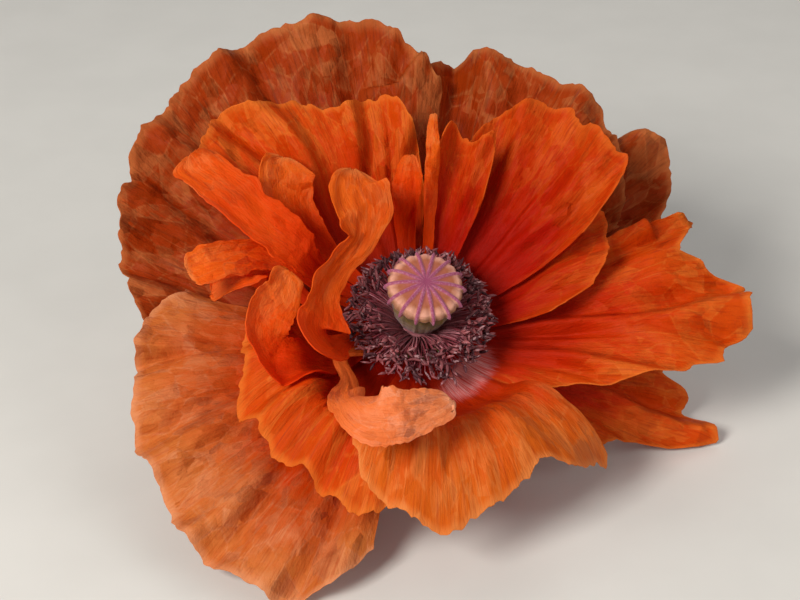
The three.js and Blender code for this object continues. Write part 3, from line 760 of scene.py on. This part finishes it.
def broad_petal(petal):
    fan = 2 * math.radians(petal.half_width)
    s = shares(round((petal.length - ROOT) / CELL), 0.002)[:, None]
    q = 2 * shares(round(0.92 * petal.length * fan / CELL), 0.0015, ends=2)[None, :] - 1
    turn = math.radians(petal.half_width) * q * FAN  # mm across, where the fan is as wide as FAN is far out
    smooth_rim = petal.rim_at(q)
    distance = ROOT + s * (smooth_rim - ROOT) + s**9 * (ragged_rim(petal, q, turn) - smooth_rim)
    sides = ripples(s * petal.length / 4, 0 * s, petal.seed + 80) * q**10
    azimuth = petal.azimuth + petal.half_width * q * blend(CLAW, 1, ease(s / 0.45)) * (1 - 0.02 * sides)
    lean = settle(petal.order + 1, distance, azimuth)[petal.order]
    grid = on_table(spot(distance, azimuth, lean))
    grid[..., 2] = np.maximum(grid[..., 2], SHEET_THICKNESS)
    _, height, tone = creases(petal, distance, azimuth)
    values = {
        "place": np.stack(np.broadcast_arrays(turn, distance, 0 * distance + petal.seed), -1),
        "reach": s + 0 * q, "height": height, "tone": tone, "blush": blush(distance, azimuth),
    }
    points, faces, values = sheet(grid, values)
    slot, finish = slot_of[petal.name], PETAL_FINISHES[finish_of[petal.name]]
    return make_piece(petal.name + "_petal", points, faces, values, finish, "petal_" + petal.name)


for petal in petals:
    broad_petal(petal)

# %% [markdown]
# ## The petaloids' list
#
# Petaloids are stamens that have turned into narrow petals. Each is a strip along a spine. Stations give
# the distance, azimuth and lean of the spine, half the strip's width and the curl of its sides. The
# curls below zero bend the sides towards the viewer, as on a thin petal that is drying; a curl that
# bends them away makes a strip look like a roll of clay. A roll turns the width about the spine, where
# a strip shows its face although its spine runs across the view.

# %% The petaloids' stations: distance, azimuth, lean, half width, curl
PETALOIDS = {
    "tongue": [
        (7.3, 144, 62, 1.1, -20), (20, 147, 66, 1.8, -30), (30, 148.5, 63, 3.4, -35),
        (38.4, 148, 62, 5.2, -35), (45.5, 145.7, 60, 6.8, -35), (49.6, 142, 59, 7.2, -30),
        (52.5, 137, 60, 5.2, -20)],
    "finger_long": [
        (7.3, 170, 61, 1, -20), (20, 168.5, 66, 1.4, -30), (32.9, 166.7, 62, 2.6, -35),
        (42, 168, 60, 3.6, -35), (49.1, 173.7, 60, 4.4, -35), (55.5, 178.3, 61, 4.4, -30),
        (60, 180.9, 63, 3.8, -20)],
    "finger_short": [
        (7.3, 183.5, 66, 1, 20), (20, 179, 72.5, 1.3, 30), (31, 168, 74, 2.4, 30), (37.5, 167, 74, 3, 30),
        (42.5, 172, 74, 3.8, 30), (47.4, 176.8, 74, 4.2, 30), (50.5, 178.5, 75, 3.6, 30)],
    "curtain": [
        (7.3, 203, 73, 1.1, -20), (20, 212, 77, 1.8, -20), (37, 213.5, 67, 5, -15),
        (44.1, 210.5, 61, 5.8, -20), (46.7, 204.4, 57, 5.8, -25), (45.6, 196.8, 54, 5.6, -25),
        (41.6, 188.5, 52, 5, -25), (40.4, 178, 49.5, 4, -20)],
    "folded": [
        (7.3, 158, 53, 1.1, -20), (20, 161, 63, 1.8, -30), (33.5, 167.5, 53, 4.5, -30),
        (40, 165.5, 51.5, 6.2, -30), (48.4, 162.6, 54, 6.4, -25), (59.7, 157.6, 58.5, 6.6, -20),
        (69, 154.6, 64.5, 5, -15)],
    "curled": [
        (7.3, 192, 60, 1.1, -20), (18, 201, 64, 1.8, -20), (24, 208, 59, 2.4, -20),
        (30.8, 214, 52, 4.6, -15), (36, 209.5, 48, 7.6, -15), (35.5, 201.4, 45, 7, -20),
        (34.3, 189.1, 42, 5, -25), (31, 166.8, 40, 4.2, -30), (31.2, 145.2, 36, 5, -30),
        (36.5, 134.5, 36, 7.4, -25), (42, 132, 38, 7.2, -20), (45.5, 127, 40, 4.8, -15)],
    "wing": [
        (7.3, 223, 67, 1.1, 20), (21, 209, 67.5, 1.7, 20), (29, 231, 61, 2.4, 20),
        (47, 242, 49.5, 4.6, 15), (54, 250.5, 47.5, 6.2, 12), (53.5, 259, 46.5, 6.2, 10),
        (49, 268.4, 46.3, 5, 10), (43.5, 280, 46.5, 2.6, 10)],
    "spike": [
        (7.3, 80, 56, 0.9, 20), (22, 84, 69, 1.4, 30), (34, 87, 53, 1.8, 50), (43, 88, 50, 2, 60),
        (53, 89, 47, 0.9, 40)],
    "crumpled": [
        (7.3, 101, 58, 1.1, 20), (22, 99, 69, 2.2, 40), (31, 99, 53, 3.4, 60), (37, 98, 51, 3.8, 60),
        (43, 97, 50, 1.6, 40)],
}
ROLLS = {"wing": [0, 0, 0, 25, 50, 60, 60, 50]}  # degrees, one for each station
# where on the paints, from root to rim, a petaloid's root and tip are
REACH = {"tongue": (0.12, 1.0), "finger_long": (0.12, 1.0), "folded": (0.1, 0.8),
         "finger_short": (0.1, 0.8), "crumpled": (0.1, 0.8), "curtain": (0.1, 0.9)}
USUAL_REACH = (0.25, 1.0)
RAGGED_TIPS = {"wing": 3.0, "finger_short": 1.4}  # mm
USUAL_TIP = 0.5
print(len(PETALOIDS), "petaloids with", sum(len(rows) for rows in PETALOIDS.values()), "stations")

# %% [markdown]
# ## The petaloids
#
# A Bezier curve with a bevel could carry such a strip, but its sides couldn't curl, wave or lie on the
# broad petals. So the strip is a grid again: an arc across the spine at each step, with waves along its
# sides and creases like the broad petals'. Every point that would sink into a broad petal is moved in
# front of it, by the same rule by which the petals lie on one another.

# %% Build the petaloids
PETALOID_CELL = 0.5
TIP_LENGTH = 0.8  # of the rounded tip, as a share of the half width
WAVE = 0.24  # of the half width, at the sides


def laid_on_petals(points):
    """Points moved in front of the broad petals where they would sink into them."""
    distance = np.linalg.norm(points, axis=-1)
    azimuth = np.degrees(np.arctan2(points[..., 1], points[..., 0]))
    lean = np.degrees(np.arccos(points[..., 2] / distance))
    settled = settle(len(petals), distance, azimuth)
    return spot(distance, azimuth, lying_on(settled, distance, azimuth, lean))


def strip(name, stations, seed):
    """The grid of a petaloid in the bloom's frame, and its values."""
    columns = list(zip(*stations))

    def spine(s):
        return spot(*(curve_through(columns[k], s) for k in range(3)))

    length = np.linalg.norm(np.diff(spine(np.linspace(0, 1, 200)), axis=0), axis=1).sum()
    widest = max(columns[3])
    s = shares(round(length / PETALOID_CELL), 0.15 / length)
    q = 2 * shares(round(2 * widest / PETALOID_CELL), 0.05 / widest, ends=2) - 1
    distance, azimuth, lean, half_width, curl = (curve_through(column, s) for column in columns)
    along = unit(spine(np.minimum(1, s + 0.01)) - spine(np.maximum(0, s - 0.01)))
    outward = unit(spot(distance, azimuth, lean + 1) - spot(distance, azimuth, lean - 1))
    side = unit(np.cross(along, outward))
    roll = np.radians(curve_through(ROLLS.get(name, [0, 0]), s))[:, None]
    side = side * np.cos(roll) + np.cross(along, side) * np.sin(roll)
    front = np.cross(side, along)

    tip = TIP_LENGTH * half_width
    narrowed = np.sqrt(1 - 0.94 * np.clip((s * length - length + tip) / tip, 0, 1) ** 2.4)
    at_along, at_across = np.meshgrid(s * length, q * widest, indexing="ij")
    wave = (ripples(at_along / 3.5, np.sign(at_across), seed)
            + 0.3 * ripples(at_along / 1.2, np.sign(at_across), seed + 7) - 0.65)
    wave = 1 + WAVE * wave * np.abs(q) ** 4 * ease(s / 0.3)[:, None]
    half_width = (half_width * narrowed)[:, None] * wave
    curl = np.radians(curl * narrowed)[:, None]
    height, tone = crumple(at_along, at_across, seed + 10)
    lift = (height - 0.5) * np.minimum(1, half_width / 4) * (1.6 + 1.4 * s[:, None])
    teeth = facets(q[None, :] * widest / 1.2, 0 * q[None, :], seed + 50)[0] - 0.6
    teeth = RAGGED_TIPS.get(name, USUAL_TIP) * s[:, None] ** 12 * teeth
    grid = (spine(s)[:, None]
            + side[:, None] * (half_width / curl * np.sin(curl * q))[..., None]
            + front[:, None] * (half_width / curl * (1 - np.cos(curl * q)) + lift)[..., None]
            + along[:, None] * teeth[..., None])
    reach = np.broadcast_to(blend(*REACH.get(name, USUAL_REACH), s[:, None]), height.shape)
    return grid, {"place": np.stack([at_across, at_along, 0 * at_along + seed], -1),
                  "reach": reach, "height": height, "tone": tone, "blush": 0 * tone}


for order, (name, stations) in enumerate(PETALOIDS.items()):
    grid, values = strip(name, stations, 3000 + 100 * order)
    points, faces, values = sheet(laid_on_petals(grid), values)
    finish = PETAL_FINISHES["wing" if name == "wing" else "petaloid"]
    make_piece(name + "_petaloid", on_table(points), faces, values, finish, "petaloid_" + name)

# %% [markdown]
# ## Round skins along a line
#
# Filaments, anthers, the stem and its bristles are all round skins along a line, thicker here and
# thinner there. A curve object with a bevel does this too, but thousands of curves export badly. One
# function gives the points and faces of such a skin, and a cluster gathers hundreds into one mesh.

# %% Tubes


def walls_of(rows, sides, closed=False):
    """Four-sided faces between rings of points, and from the last ring to the first if closed."""
    at = np.arange(rows * sides).reshape(rows, sides)
    if closed:
        at = np.vstack([at, at[:1]])
    beside = np.roll(at, -1, axis=1)
    return np.stack([at[:-1], beside[:-1], beside[1:], at[1:]], -1).reshape(-1, 4)


def caps_of(rows, sides):
    """Triangles from the first ring and the last to a middle point each, which come after the rings."""
    first = np.arange(sides)
    last = first + (rows - 1) * sides
    foot, top = rows * sides, rows * sides + 1
    return np.concatenate([np.stack([np.roll(first, -1), first, np.full(sides, foot)], -1),
                           np.stack([last, np.roll(last, -1), np.full(sides, top)], -1)])


def tube(line, across, radii, sides=6, section=None):
    """A closed round skin from its line, a sideways direction, radii, and a section's share by turn."""
    line, radii = np.asarray(line, float), np.asarray(radii, float)
    along = unit(np.gradient(line, axis=0))
    first = unit(across - along * (along @ across)[:, None])
    second = np.cross(along, first)
    turn = 2 * math.pi * np.arange(sides) / sides
    share = np.ones(sides) if section is None else section(turn)
    rings = line[:, None] + radii[:, None, None] * (
        first[:, None] * (share * np.cos(turn))[None, :, None]
        + second[:, None] * (share * np.sin(turn))[None, :, None])
    points = np.concatenate([rings.reshape(-1, 3), line[:1], line[-1:]])
    return points, walls_of(len(line), sides), caps_of(len(line), sides)


print("a six-sided tube of 3 rings has", len(tube(np.eye(3), np.array([1.0, 1, 0]), [1, 1, 1])[0]), "points")

# %% Clusters of tubes


class Cluster:
    """Many small skins gathered into one mesh."""

    def __init__(self):
        self.points, self.walls, self.caps, self.values, self.count = [], [], [], {}, 0

    def add(self, skin, **values):
        points, walls, caps = skin
        self.points.append(points)
        self.walls.append(walls + self.count)
        self.caps.append(caps + self.count)
        self.count += len(points)
        for key, value in values.items():
            self.values.setdefault(key, []).append(np.broadcast_to(value, len(points)))

    def piece(self, name, finish, slot, node):
        values = {key: np.concatenate(parts) for key, parts in self.values.items()}
        faces = [np.concatenate(self.walls), np.concatenate(self.caps)]
        print(len(self.points), "skins gathered")
        return make_piece(name, np.concatenate(self.points), faces, values, finish, node)


print("an empty cluster has", Cluster().count, "points")

# %% [markdown]
# ## The stamens' finish
#
# The filaments are mauve and a little glossy, and the anthers are dark purple-brown, with a grey-pink
# dust of pollen. Two materials would do, but then the ring would need two meshes or face by face
# choices. One finish serves both: a value on the mesh says which is which, and another gives each stamen
# a shade of its own.

# %% A finish for the stamens


def stamen_finish():
    finish = Finish("plum_filaments_and_dusty_anthers")
    anther, along, own = (finish.value(key) for key in ("anther", "along", "own"))
    dust = finish.noise(finish.position(), 900, 3, 0.6)
    filament = finish.mix(along.between(0, 1), "b06c74", "843440")
    filament = finish.mix(own.between(0.5, 1), filament, "b87680")
    pollen_sac = finish.mix(own.between(0.1, 1), "441c24", "965054")
    pollen_sac = finish.mix(dust.between(0.55, 0.65) * 0.7, pollen_sac, "b89094")
    colour = finish.mix(anther, filament, pollen_sac)
    normal = finish.bump(dust, 0.12)
    return finish.surface(finish.skin(colour, 0.45 + 0.2 * anther, 0.35, {"Normal": normal}))


STAMEN_FINISH = stamen_finish()

# %% [markdown]
# ## The ring of stamens
#
# A few hundred stamens stand round the capsule, and no two lean alike. Instances on points would be
# quick, but the export drops them. A loop with seeded random numbers makes each stamen on its own: a
# filament that arches up and outwards, and an anther at its end, fat in the middle, grooved and pointed.
# Each turns from the one before by the golden angle, which spreads them evenly, as plants do.

# %% One stamen
ANTHER_LENGTH, ANTHER_RADIUS = 2.7, 0.46
FILAMENT_RADIUS = 0.17
FILAMENT_RINGS, FILAMENT_SIDES = 7, 5
ANTHER_RINGS, ANTHER_SIDES = 9, 10
UP = np.array([0, 0, 1.0])
random = np.random.default_rng(7)


def two_lobes(turn):
    """An anther's section: two pollen sacs with a groove between them on both sides."""
    return 1 - 0.38 * np.exp(-((np.cos(turn) / 0.45) ** 2))


def bezier(a, b, c, t):
    t = t[:, None]
    return (1 - t) ** 2 * a + 2 * t * (1 - t) * b + t * t * c


def either_way():
    """A random number from -0.5 to 0.5."""
    return random.random() - 0.5


def stamen(cluster, turn, share):
    """Adds a stamen at a turn round the axis, with share from 0 for the innermost to 1."""
    radial = np.array([math.cos(turn), math.sin(turn), 0])
    aside = np.array([-math.sin(turn), math.cos(turn), 0])
    reach = blend(9.6, 15.4, share**0.6) + 1.7 * random.random()
    height = blend(14.6, 7.6, share) + 2.2 * random.random()
    root = radial * blend(4.0, 5.0, share) + UP * 6.4
    elbow = radial * reach * 0.6 + UP * height * blend(0.78, 1.02, share) + aside * either_way()
    top = radial * reach + UP * height + aside * 3.4 * either_way()
    t = np.linspace(0, 1, FILAMENT_RINGS)
    line = bezier(root, elbow, top, t)
    own = random.random()
    skin = tube(line, aside, FILAMENT_RADIUS * blend(1.25, 0.75, t), FILAMENT_SIDES)
    cluster.add(skin, anther=0.0, own=own, along=np.append(np.repeat(t, FILAMENT_SIDES), [0, 1]))

    pointing = unit(unit(line[-1] - line[-2]) + UP * 1.3 * (random.random() - 0.4)
                    + aside * 2.4 * either_way() - radial * 0.7 * random.random())
    length = ANTHER_LENGTH * blend(0.8, 1.08, random.random())
    t = np.linspace(0, 1, ANTHER_RINGS)
    spindle = np.sin(math.pi * np.clip(t, 0.02, 0.985)) ** 0.6 * (1 - 0.3 * t)
    bow = unit(np.cross(pointing, aside)) * 0.35 * (random.random() - 0.2)
    line = top + pointing * (t * length - 0.25)[:, None] + bow * (np.sin(math.pi * t))[:, None]
    roll = random.random() * math.pi
    across = aside * math.cos(roll) + np.cross(pointing, aside) * math.sin(roll)
    radii = ANTHER_RADIUS * spindle * blend(0.8, 1.1, random.random())
    cluster.add(tube(line, across, radii, ANTHER_SIDES, two_lobes), anther=1.0, own=own, along=1.0)


print("an anther is", ANTHER_LENGTH, "mm long on a filament", 2 * FILAMENT_RADIUS, "mm thick")

# %% Build the stamens on their collar
STAMENS = 560
GOLDEN_ANGLE = math.pi * (3 - math.sqrt(5))
COLLAR = (3.6, 5.3, 1.0)  # inner and outer radius and thickness of the ring that they grow from
COLLAR_STEPS = 48
inner, outer, thick = COLLAR
middle = (inner + outer) / 2
radii = np.array([inner, middle, outer, outer, middle, inner])
heights = np.sqrt((ROOT + np.array([0, 0.05, 0, thick, thick, thick])) ** 2 - radii**2)
turns = 2 * math.pi * np.arange(COLLAR_STEPS) / COLLAR_STEPS
rings = np.stack([radii[:, None] * np.cos(turns), radii[:, None] * np.sin(turns),
                  heights[:, None] + 0 * turns], -1)
no_caps = np.zeros((0, 3), int)
stamens = Cluster()
stamens.add((rings.reshape(-1, 3), walls_of(len(radii), COLLAR_STEPS, closed=True), no_caps),
            anther=0.0, own=0.5, along=0.0)
for k in range(STAMENS):
    stamen(stamens, k * GOLDEN_ANGLE, (k + 0.5) / STAMENS)
stamens.points = [on_table(points) for points in stamens.points]
stamens.piece("stamen_ring", STAMEN_FINISH, "stamens", "stamens")

# %% [markdown]
# ## The capsule's finish
#
# A poppy's capsule is a green barrel, and on it lies a lid of peach-coloured lobes with velvety purple
# rays. Painting them on one by one would need a seam to be hidden. The rays and lobes are known from the
# shape, so the mesh carries them as values, and the finish only turns those into colours.

# %% A finish for the capsule


def capsule_finish():
    finish = Finish("velvet_rays_on_peach_lobes")
    ray, level, middle = (finish.value(key) for key in ("ray", "level", "middle"))
    place = finish.position()
    grain = finish.noise(place, 2200, 3, 0.6)
    patches = finish.noise(place, 420, 3, 0.55)
    # The lobes' colour turns paler towards their domed crowns, partly their own cream and partly painted
    # highlight, and darker again at the lid's outer edge.
    lobes = finish.ramp(middle + 0.25 * (patches - 0.5), (0.1, "8a404e"), (0.42, "9c5040"),
                        (0.66, "985434"), (0.86, "cc927c"), (1.0, "8c623a"))
    barrel = finish.mix(patches.between(0.35, 0.7), "585010", "786418")
    colour = finish.mix(level.between(0.1, 0.4), barrel, lobes)
    velvet = finish.mix(grain.between(0.4, 0.65), "964662", "aa6c82")
    velvet = finish.mix(middle.between(0.0, 0.35), "883e56", velvet)
    velvet = finish.mix(ray.between(0.86, 0.99) * 0.6, velvet, "7e3058")
    colour = finish.mix((ray + 0.15 * (grain - 0.5)).between(0.25, 0.6), colour, velvet)
    normal = finish.bump(0.7 * grain + 0.3 * patches, 0.14)
    return finish.surface(finish.skin(colour, 0.6 + 0.2 * ray, 0.3, {
        "Normal": normal, "Sheen Weight": 0.25, "Sheen Tint": paint("e8c0dc")}))


CAPSULE_FINISH = capsule_finish()

# %% [markdown]
# ## The seed capsule
#
# The capsule could be turned on a lathe with the Screw modifier, but its rays and lobes go round it
# fourteen times. So the lathe is written out: rings of points whose radius and height swell and fall
# with the turn. Each ray is a soft ridge that stands out past the rim, with a domed lobe between two.

# %% Build the capsule
RAYS = 14
RAY_RISE = 0.7
RAY_HALF_WIDTH = 0.62
RAY_SHARPNESS = 1.7  # narrows a ray's crest above its foot
LOBE_RISE, LOBES_FROM = 0.6, 4  # height of the lobes' domes, and the radius at which they begin
LID_HEIGHT = 21.2  # of the lid's lower side above the receptacle's middle
LID_RADIUS = 9.5
STEPS, ROWS = RAYS * 18, 110
PISTIL_PROFILE = [  # radius, height, depth of the scallops, share of the ray's rise
    (2.6, 7.35, 0, 0), (4.6, 9.6, 0.1, 0), (6.4, 13, 0.25, 0), (7.3, 17, 0.35, 0), (7.5, 20.5, 0.5, 0),
    (8.0, 21.7, 0.8, 0), (9.2, 21.9, 1.5, 0), (9.5, 22.7, 1.3, 0.5), (8.3, 24.0, 0.6, 1),
    (5.2, 25.2, 0.15, 1), (2.2, 25.8, 0, 0.6), (0.25, 26.05, 0, 0.1)]
turns = 2 * math.pi * np.arange(STEPS) / STEPS
radius, height, scallop, rise = (
    curve_through(column, np.linspace(0, 1, ROWS))[:, None] for column in zip(*PISTIL_PROFILE))
ray_turn = 2 * math.pi / RAYS
off_ray = np.abs((turns / ray_turn + 0.5) % 1 - 0.5) * ray_turn  # angle from the nearest ray
ray = np.exp(-RAY_SHARPNESS * (off_ray * np.maximum(radius, 0.8) / RAY_HALF_WIDTH) ** 2)
swell = 0.5 - 0.5 * np.cos(2 * math.pi * off_ray / ray_turn)  # 1 between two rays
notch = scallop * (1 - ray) * (1 - 0.35 * swell)
dent = 1 + 0.02 * (ripples(turns * 3.0, 9 * radius, 90) - 0.5)
reach = (radius - notch) * dent
top = height + RAY_RISE * rise * ray + LOBE_RISE * rise * swell * ease((radius - LOBES_FROM) / 4)
points = np.stack([reach * np.cos(turns), reach * np.sin(turns), top], -1)
ends = np.array([[0, 0, PISTIL_PROFILE[0][1]], [0, 0, 26.1]])
on_lid = ease((height - LID_HEIGHT) / 1.2)
values = {
    "ray": np.append(ray * on_lid, [0, 1]),
    "level": np.append(on_lid + 0 * ray, [0, 1]),
    "middle": np.append(radius / LID_RADIUS + 0 * ray, [0, 0]),
}
points = on_table(np.concatenate([points.reshape(-1, 3), ends]))
faces = [walls_of(ROWS, STEPS), caps_of(ROWS, STEPS)]
make_piece("seed_capsule", points, faces, values, CAPSULE_FINISH, "pistil")

# %% [markdown]
# ## The stem's and the bristles' finishes
#
# A fresh stem is mottled green with paler ribs, and where it was cut its pith is almost white. The
# bristles are straw-coloured, greener at the root. Noise makes the mottling, since it needs no seam
# round the stem, and values on the meshes mark ribs, cut and root.

# %% Finishes for the stem and its bristles


def stem_finish():
    finish = Finish("ribbed_green_stem")
    cut, rib = finish.value("cut"), finish.value("rib")
    place = finish.position()
    speckle = finish.noise(place, 700, 3, 0.6)
    cloud = finish.noise(place, 60, 2, 0.5)
    skin = finish.mix(cloud.between(0.35, 0.65), "4f6f2b", "6f8f42")
    skin = finish.mix(rib * 0.5, skin, "8faa5f")
    skin = finish.mix(speckle.between(0.58, 0.75) * 0.5, skin, "7a4a2e")
    pith = finish.mix(speckle.between(0.35, 0.65), "b9c48f", "e4e3c4")
    colour = finish.mix(cut, skin, pith)
    normal = finish.bump(speckle, 0.1)
    return finish.surface(finish.skin(colour, 0.5 + 0.2 * speckle, 0.4, {"Normal": normal}))


def bristle_finish():
    finish = Finish("pale_bristle")
    along = finish.value("along")
    colour = finish.mix(along.between(0, 0.35), "8ea36a", "d9d6bd")
    return finish.surface(finish.skin(colour, 0.35 + 0.1 * along, 0.5))


STEM_FINISH, BRISTLE_FINISH = stem_finish(), bristle_finish()

# %% [markdown]
# ## The stem
#
# Under the bloom the stem swells into the receptacle, goes straight back for a little and then bends
# down to lie on the table, where it was cut. It could be a bevelled curve, but the receptacle belongs to
# it in one piece. So it is the same tube as before, along a line whose points are evenly spaced, with
# shallow ribs. The cut face is a few more rings that close in, so that its pale pith shows.

# %% Build the stem
RECEPTACLE_RADIUS = 7.0
NECK = 12.0
STEM_RADIUS = 2.9
STEM_END = np.array([12, 86.7, STEM_RADIUS])
RECEPTACLE_PROFILE = [  # distance along the axis, radius
    (0.7, 3.05), (2, 4.9), (4.2, 6.41), (7, 7), (9.8, 6.41), (12, 4.9), (15, 3.5), (19, 3.0)]
RIBS, RIB_DEPTH, STEM_SIDES = 9, 0.02, 36
CUT = [(0.03, 2.75), (0.06, 2.3), (0.02, 1.1), (-0.25, 0.6)]  # step past the end and radius of its rings
axis = BLOOM_TURN[:, 2]


def below(distance):
    """A point on the bloom's axis, below the receptacle's middle."""
    return FLOWER_CENTRE - axis * distance


def evenly(line, count):
    """Points at even steps along a line of many points."""
    run = np.append(0, np.cumsum(np.linalg.norm(np.diff(line, axis=0), axis=1)))
    return np.stack([np.interp(np.linspace(0, run[-1], count), run, line[:, k]) for k in range(3)], -1)


t = np.linspace(0, 1, 400)[:, None]
bend = ((1 - t) ** 3 * below(NECK) + 3 * (1 - t) ** 2 * t * below(NECK + 26)
        + 3 * (1 - t) * t * t * (STEM_END + [-12, -70, 0]) + t**3 * STEM_END)
bend = evenly(bend, 90)
profile = np.array(RECEPTACLE_PROFILE)
fine = np.linspace(0.35, 19, 40)
receptacle_line = np.array([below(d - RECEPTACLE_RADIUS) for d in fine])
cut_line = np.array([bend[-1] + unit(bend[-1] - bend[-2]) * step for step, _ in CUT])
line = np.concatenate([receptacle_line, bend[1:], cut_line])
radii = np.concatenate([np.interp(fine, profile[:, 0], profile[:, 1]),
                        np.full(len(bend) - 1, STEM_RADIUS), [radius for _, radius in CUT]])
points, walls, caps = tube(line, np.array([1.0, 0, 0]), radii, STEM_SIDES,
                           lambda turn: 1 - RIB_DEPTH * (1 - np.cos(RIBS * turn)))
rib = np.tile(0.5 + 0.5 * np.cos(RIBS * 2 * math.pi * np.arange(STEM_SIDES) / STEM_SIDES), len(line))
is_cut = np.repeat(np.arange(len(line)) >= len(line) - 3, STEM_SIDES).astype(float)
values = {"rib": np.append(rib, [0, 0]), "cut": np.append(is_cut, [0, 1])}
make_piece("ribbed_stem", points, [walls, caps], values, STEM_FINISH, "stem")
print("stem", round(float(np.linalg.norm(np.diff(bend, axis=0), axis=1).sum())), "mm long after the neck")

# %% [markdown]
# ## The bristles
#
# An oriental poppy's stem is covered in stiff pale hairs. Blender's hair system would grow them in one
# click, but the export leaves hair out. A hair is only a thin cone with a slight bow, so each is a
# three-sided tube, and all of them are one mesh. Those that would go through the table are left off, as
# if the stem lay on them.

# %% Build the bristles
BRISTLES = 1500
BRISTLE_RADIUS = 0.07
BRISTLE_TAPER = np.array([1, 0.6, 0.1])
LOWEST_BRISTLE = 0.2  # above the table
bristles = Cluster()
for k in range(BRISTLES):
    place = 3 + random.random() * (len(bend) - 5)
    i = int(place)
    centre = blend(bend[i], bend[i + 1], place - i)
    along = unit(bend[i + 1] - bend[i])
    first = unit(np.cross(along, UP))
    turn = 2 * math.pi * random.random()
    outward = first * math.cos(turn) + np.cross(along, first) * math.sin(turn)
    length = blend(1.4, 3.0, random.random())
    aside = np.cross(along, outward) * 0.5 * either_way()
    root = centre + outward * (STEM_RADIUS - 0.2)
    half = root + unit(outward - along * 0.15 + aside) * length * 0.5
    tip = half + unit(outward - along * (0.35 + 0.5 * random.random()) + aside) * length * 0.5
    if min(tip[2], half[2]) >= LOWEST_BRISTLE:
        bristles.add(tube([root, half, tip], along, BRISTLE_RADIUS * BRISTLE_TAPER, 3),
                     along=np.append(np.repeat([0, 0.5, 1.0], 3), [0, 1]))
bristles.piece("stem_bristles", BRISTLE_FINISH, "stem", None)

# %% [markdown]
# ## The table
#
# The flower lies on a plain pale table, so that nothing draws the eye from it. A plain box would show
# its edges, and a wide plane a hair's breadth below the flower doesn't. It belongs to the stage, which
# the export leaves out.

# %% The table
TABLE_SIZE = 6  # metres
table_finish = Finish("pale_matt_table")
grain = table_finish.noise(table_finish.position(), 40, 3, 0.5)
table_colour = table_finish.mix(grain.between(0.3, 0.7), "d6d5d1", "d9d8d4")
table_material = table_finish.surface(table_finish.skin(table_colour, 0.85, 0.2))
bpy.ops.mesh.primitive_plane_add(size=TABLE_SIZE, location=(0, 0, -0.05 * MM))
table = bpy.context.object
table.name = "table"
table.data.materials.append(table_material)
print("table at z", round(table.location.z / MM, 2), "mm")

# %% [markdown]
# ## The light
#
# Tissue looks thin when light models its folds and also passes through it. A sun lamp would be harsh,
# and light from everywhere would flatten the folds. So a small soft key light stands in front on the
# left, a large weak one fills the right, a third behind shines through the rims, and the world adds a
# little from all sides.

# %% The light
LIGHTS = [  # name, azimuth, elevation, distance in metres, size, power, colour
    ("key", -36, 38, 0.9, 0.28, 8.3, (1.0, 0.96, 0.9)),
    ("fill", 55, 32, 1.1, 0.8, 2.7, (1.0, 0.96, 0.92)),
    ("back", 170, 60, 1.1, 0.7, 2.4, (1.0, 0.98, 0.95)),
]
WORLD_COLOUR, WORLD_STRENGTH = (0.9, 0.89, 0.88, 1), 0.2


def soft_light(name, azimuth, elevation, distance, size, power, colour):
    """A square area light that shines on the bloom from a direction in degrees."""
    a, e = math.radians(azimuth), math.radians(elevation)
    light = bpy.data.lights.new(name, "AREA")
    light.size, light.energy, light.color = size, power, colour
    lamp = bpy.data.objects.new(name, light)
    towards = Vector((math.sin(a) * math.cos(e), -math.cos(a) * math.cos(e), math.sin(e)))
    lamp.location = Vector(FLOWER_CENTRE * MM) + towards * distance
    lamp.rotation_euler = towards.to_track_quat("Z", "Y").to_euler()
    bpy.context.scene.collection.objects.link(lamp)


for row in LIGHTS:
    soft_light(*row)
world = bpy.data.worlds.new("studio")
world.use_nodes = True
backdrop = world.node_tree.nodes["Background"]
backdrop.inputs["Color"].default_value = WORLD_COLOUR
backdrop.inputs["Strength"].default_value = WORLD_STRENGTH
bpy.context.scene.world = world
bpy.context.scene.view_settings.view_transform = "Standard"

# %% [markdown]
# ## The camera
#
# The camera looks down at the bloom from in front, with a long lens as for a portrait, since a wide one
# close by would swell the nearest petals. Typed coordinates would have to be found again whenever the
# flower is moved. So the camera is placed by its distance and elevation from the middle of the bloom,
# and aimed by an offset from that middle, and it follows the flower.

# %% The camera
CAMERA_ELEVATION = 33  # degrees
CAMERA_DISTANCE = 420.0  # from the bloom's middle
LENS = 79.4
AIM = (-3.8, 8.1)  # how far right of the bloom's middle and above it the camera looks

camera = bpy.data.objects.new("camera", bpy.data.cameras.new("camera"))
bpy.context.scene.collection.objects.link(camera)
elevation = math.radians(CAMERA_ELEVATION)
back = Vector((0, -math.cos(elevation), math.sin(elevation)))
right = Vector((1, 0, 0))
middle = Vector(FLOWER_CENTRE)
aim = middle + right * AIM[0] + back.cross(right) * AIM[1]
camera.location = (middle + back * CAMERA_DISTANCE) * MM
camera.rotation_euler = (camera.location - aim * MM).to_track_quat("Z", "Y").to_euler()
camera.data.lens = LENS
camera.data.clip_start, camera.data.clip_end = 0.01, 20
bpy.context.scene.camera = camera
print("camera at", [round(c / MM) for c in camera.location], "mm")

# %% [markdown]
# ## The size of the dressed flower
#
# The dressed flower must keep the size of its solids, since other scenes collide with those. Judging it by
# eye would miss a rim that is a few millimetres too long.
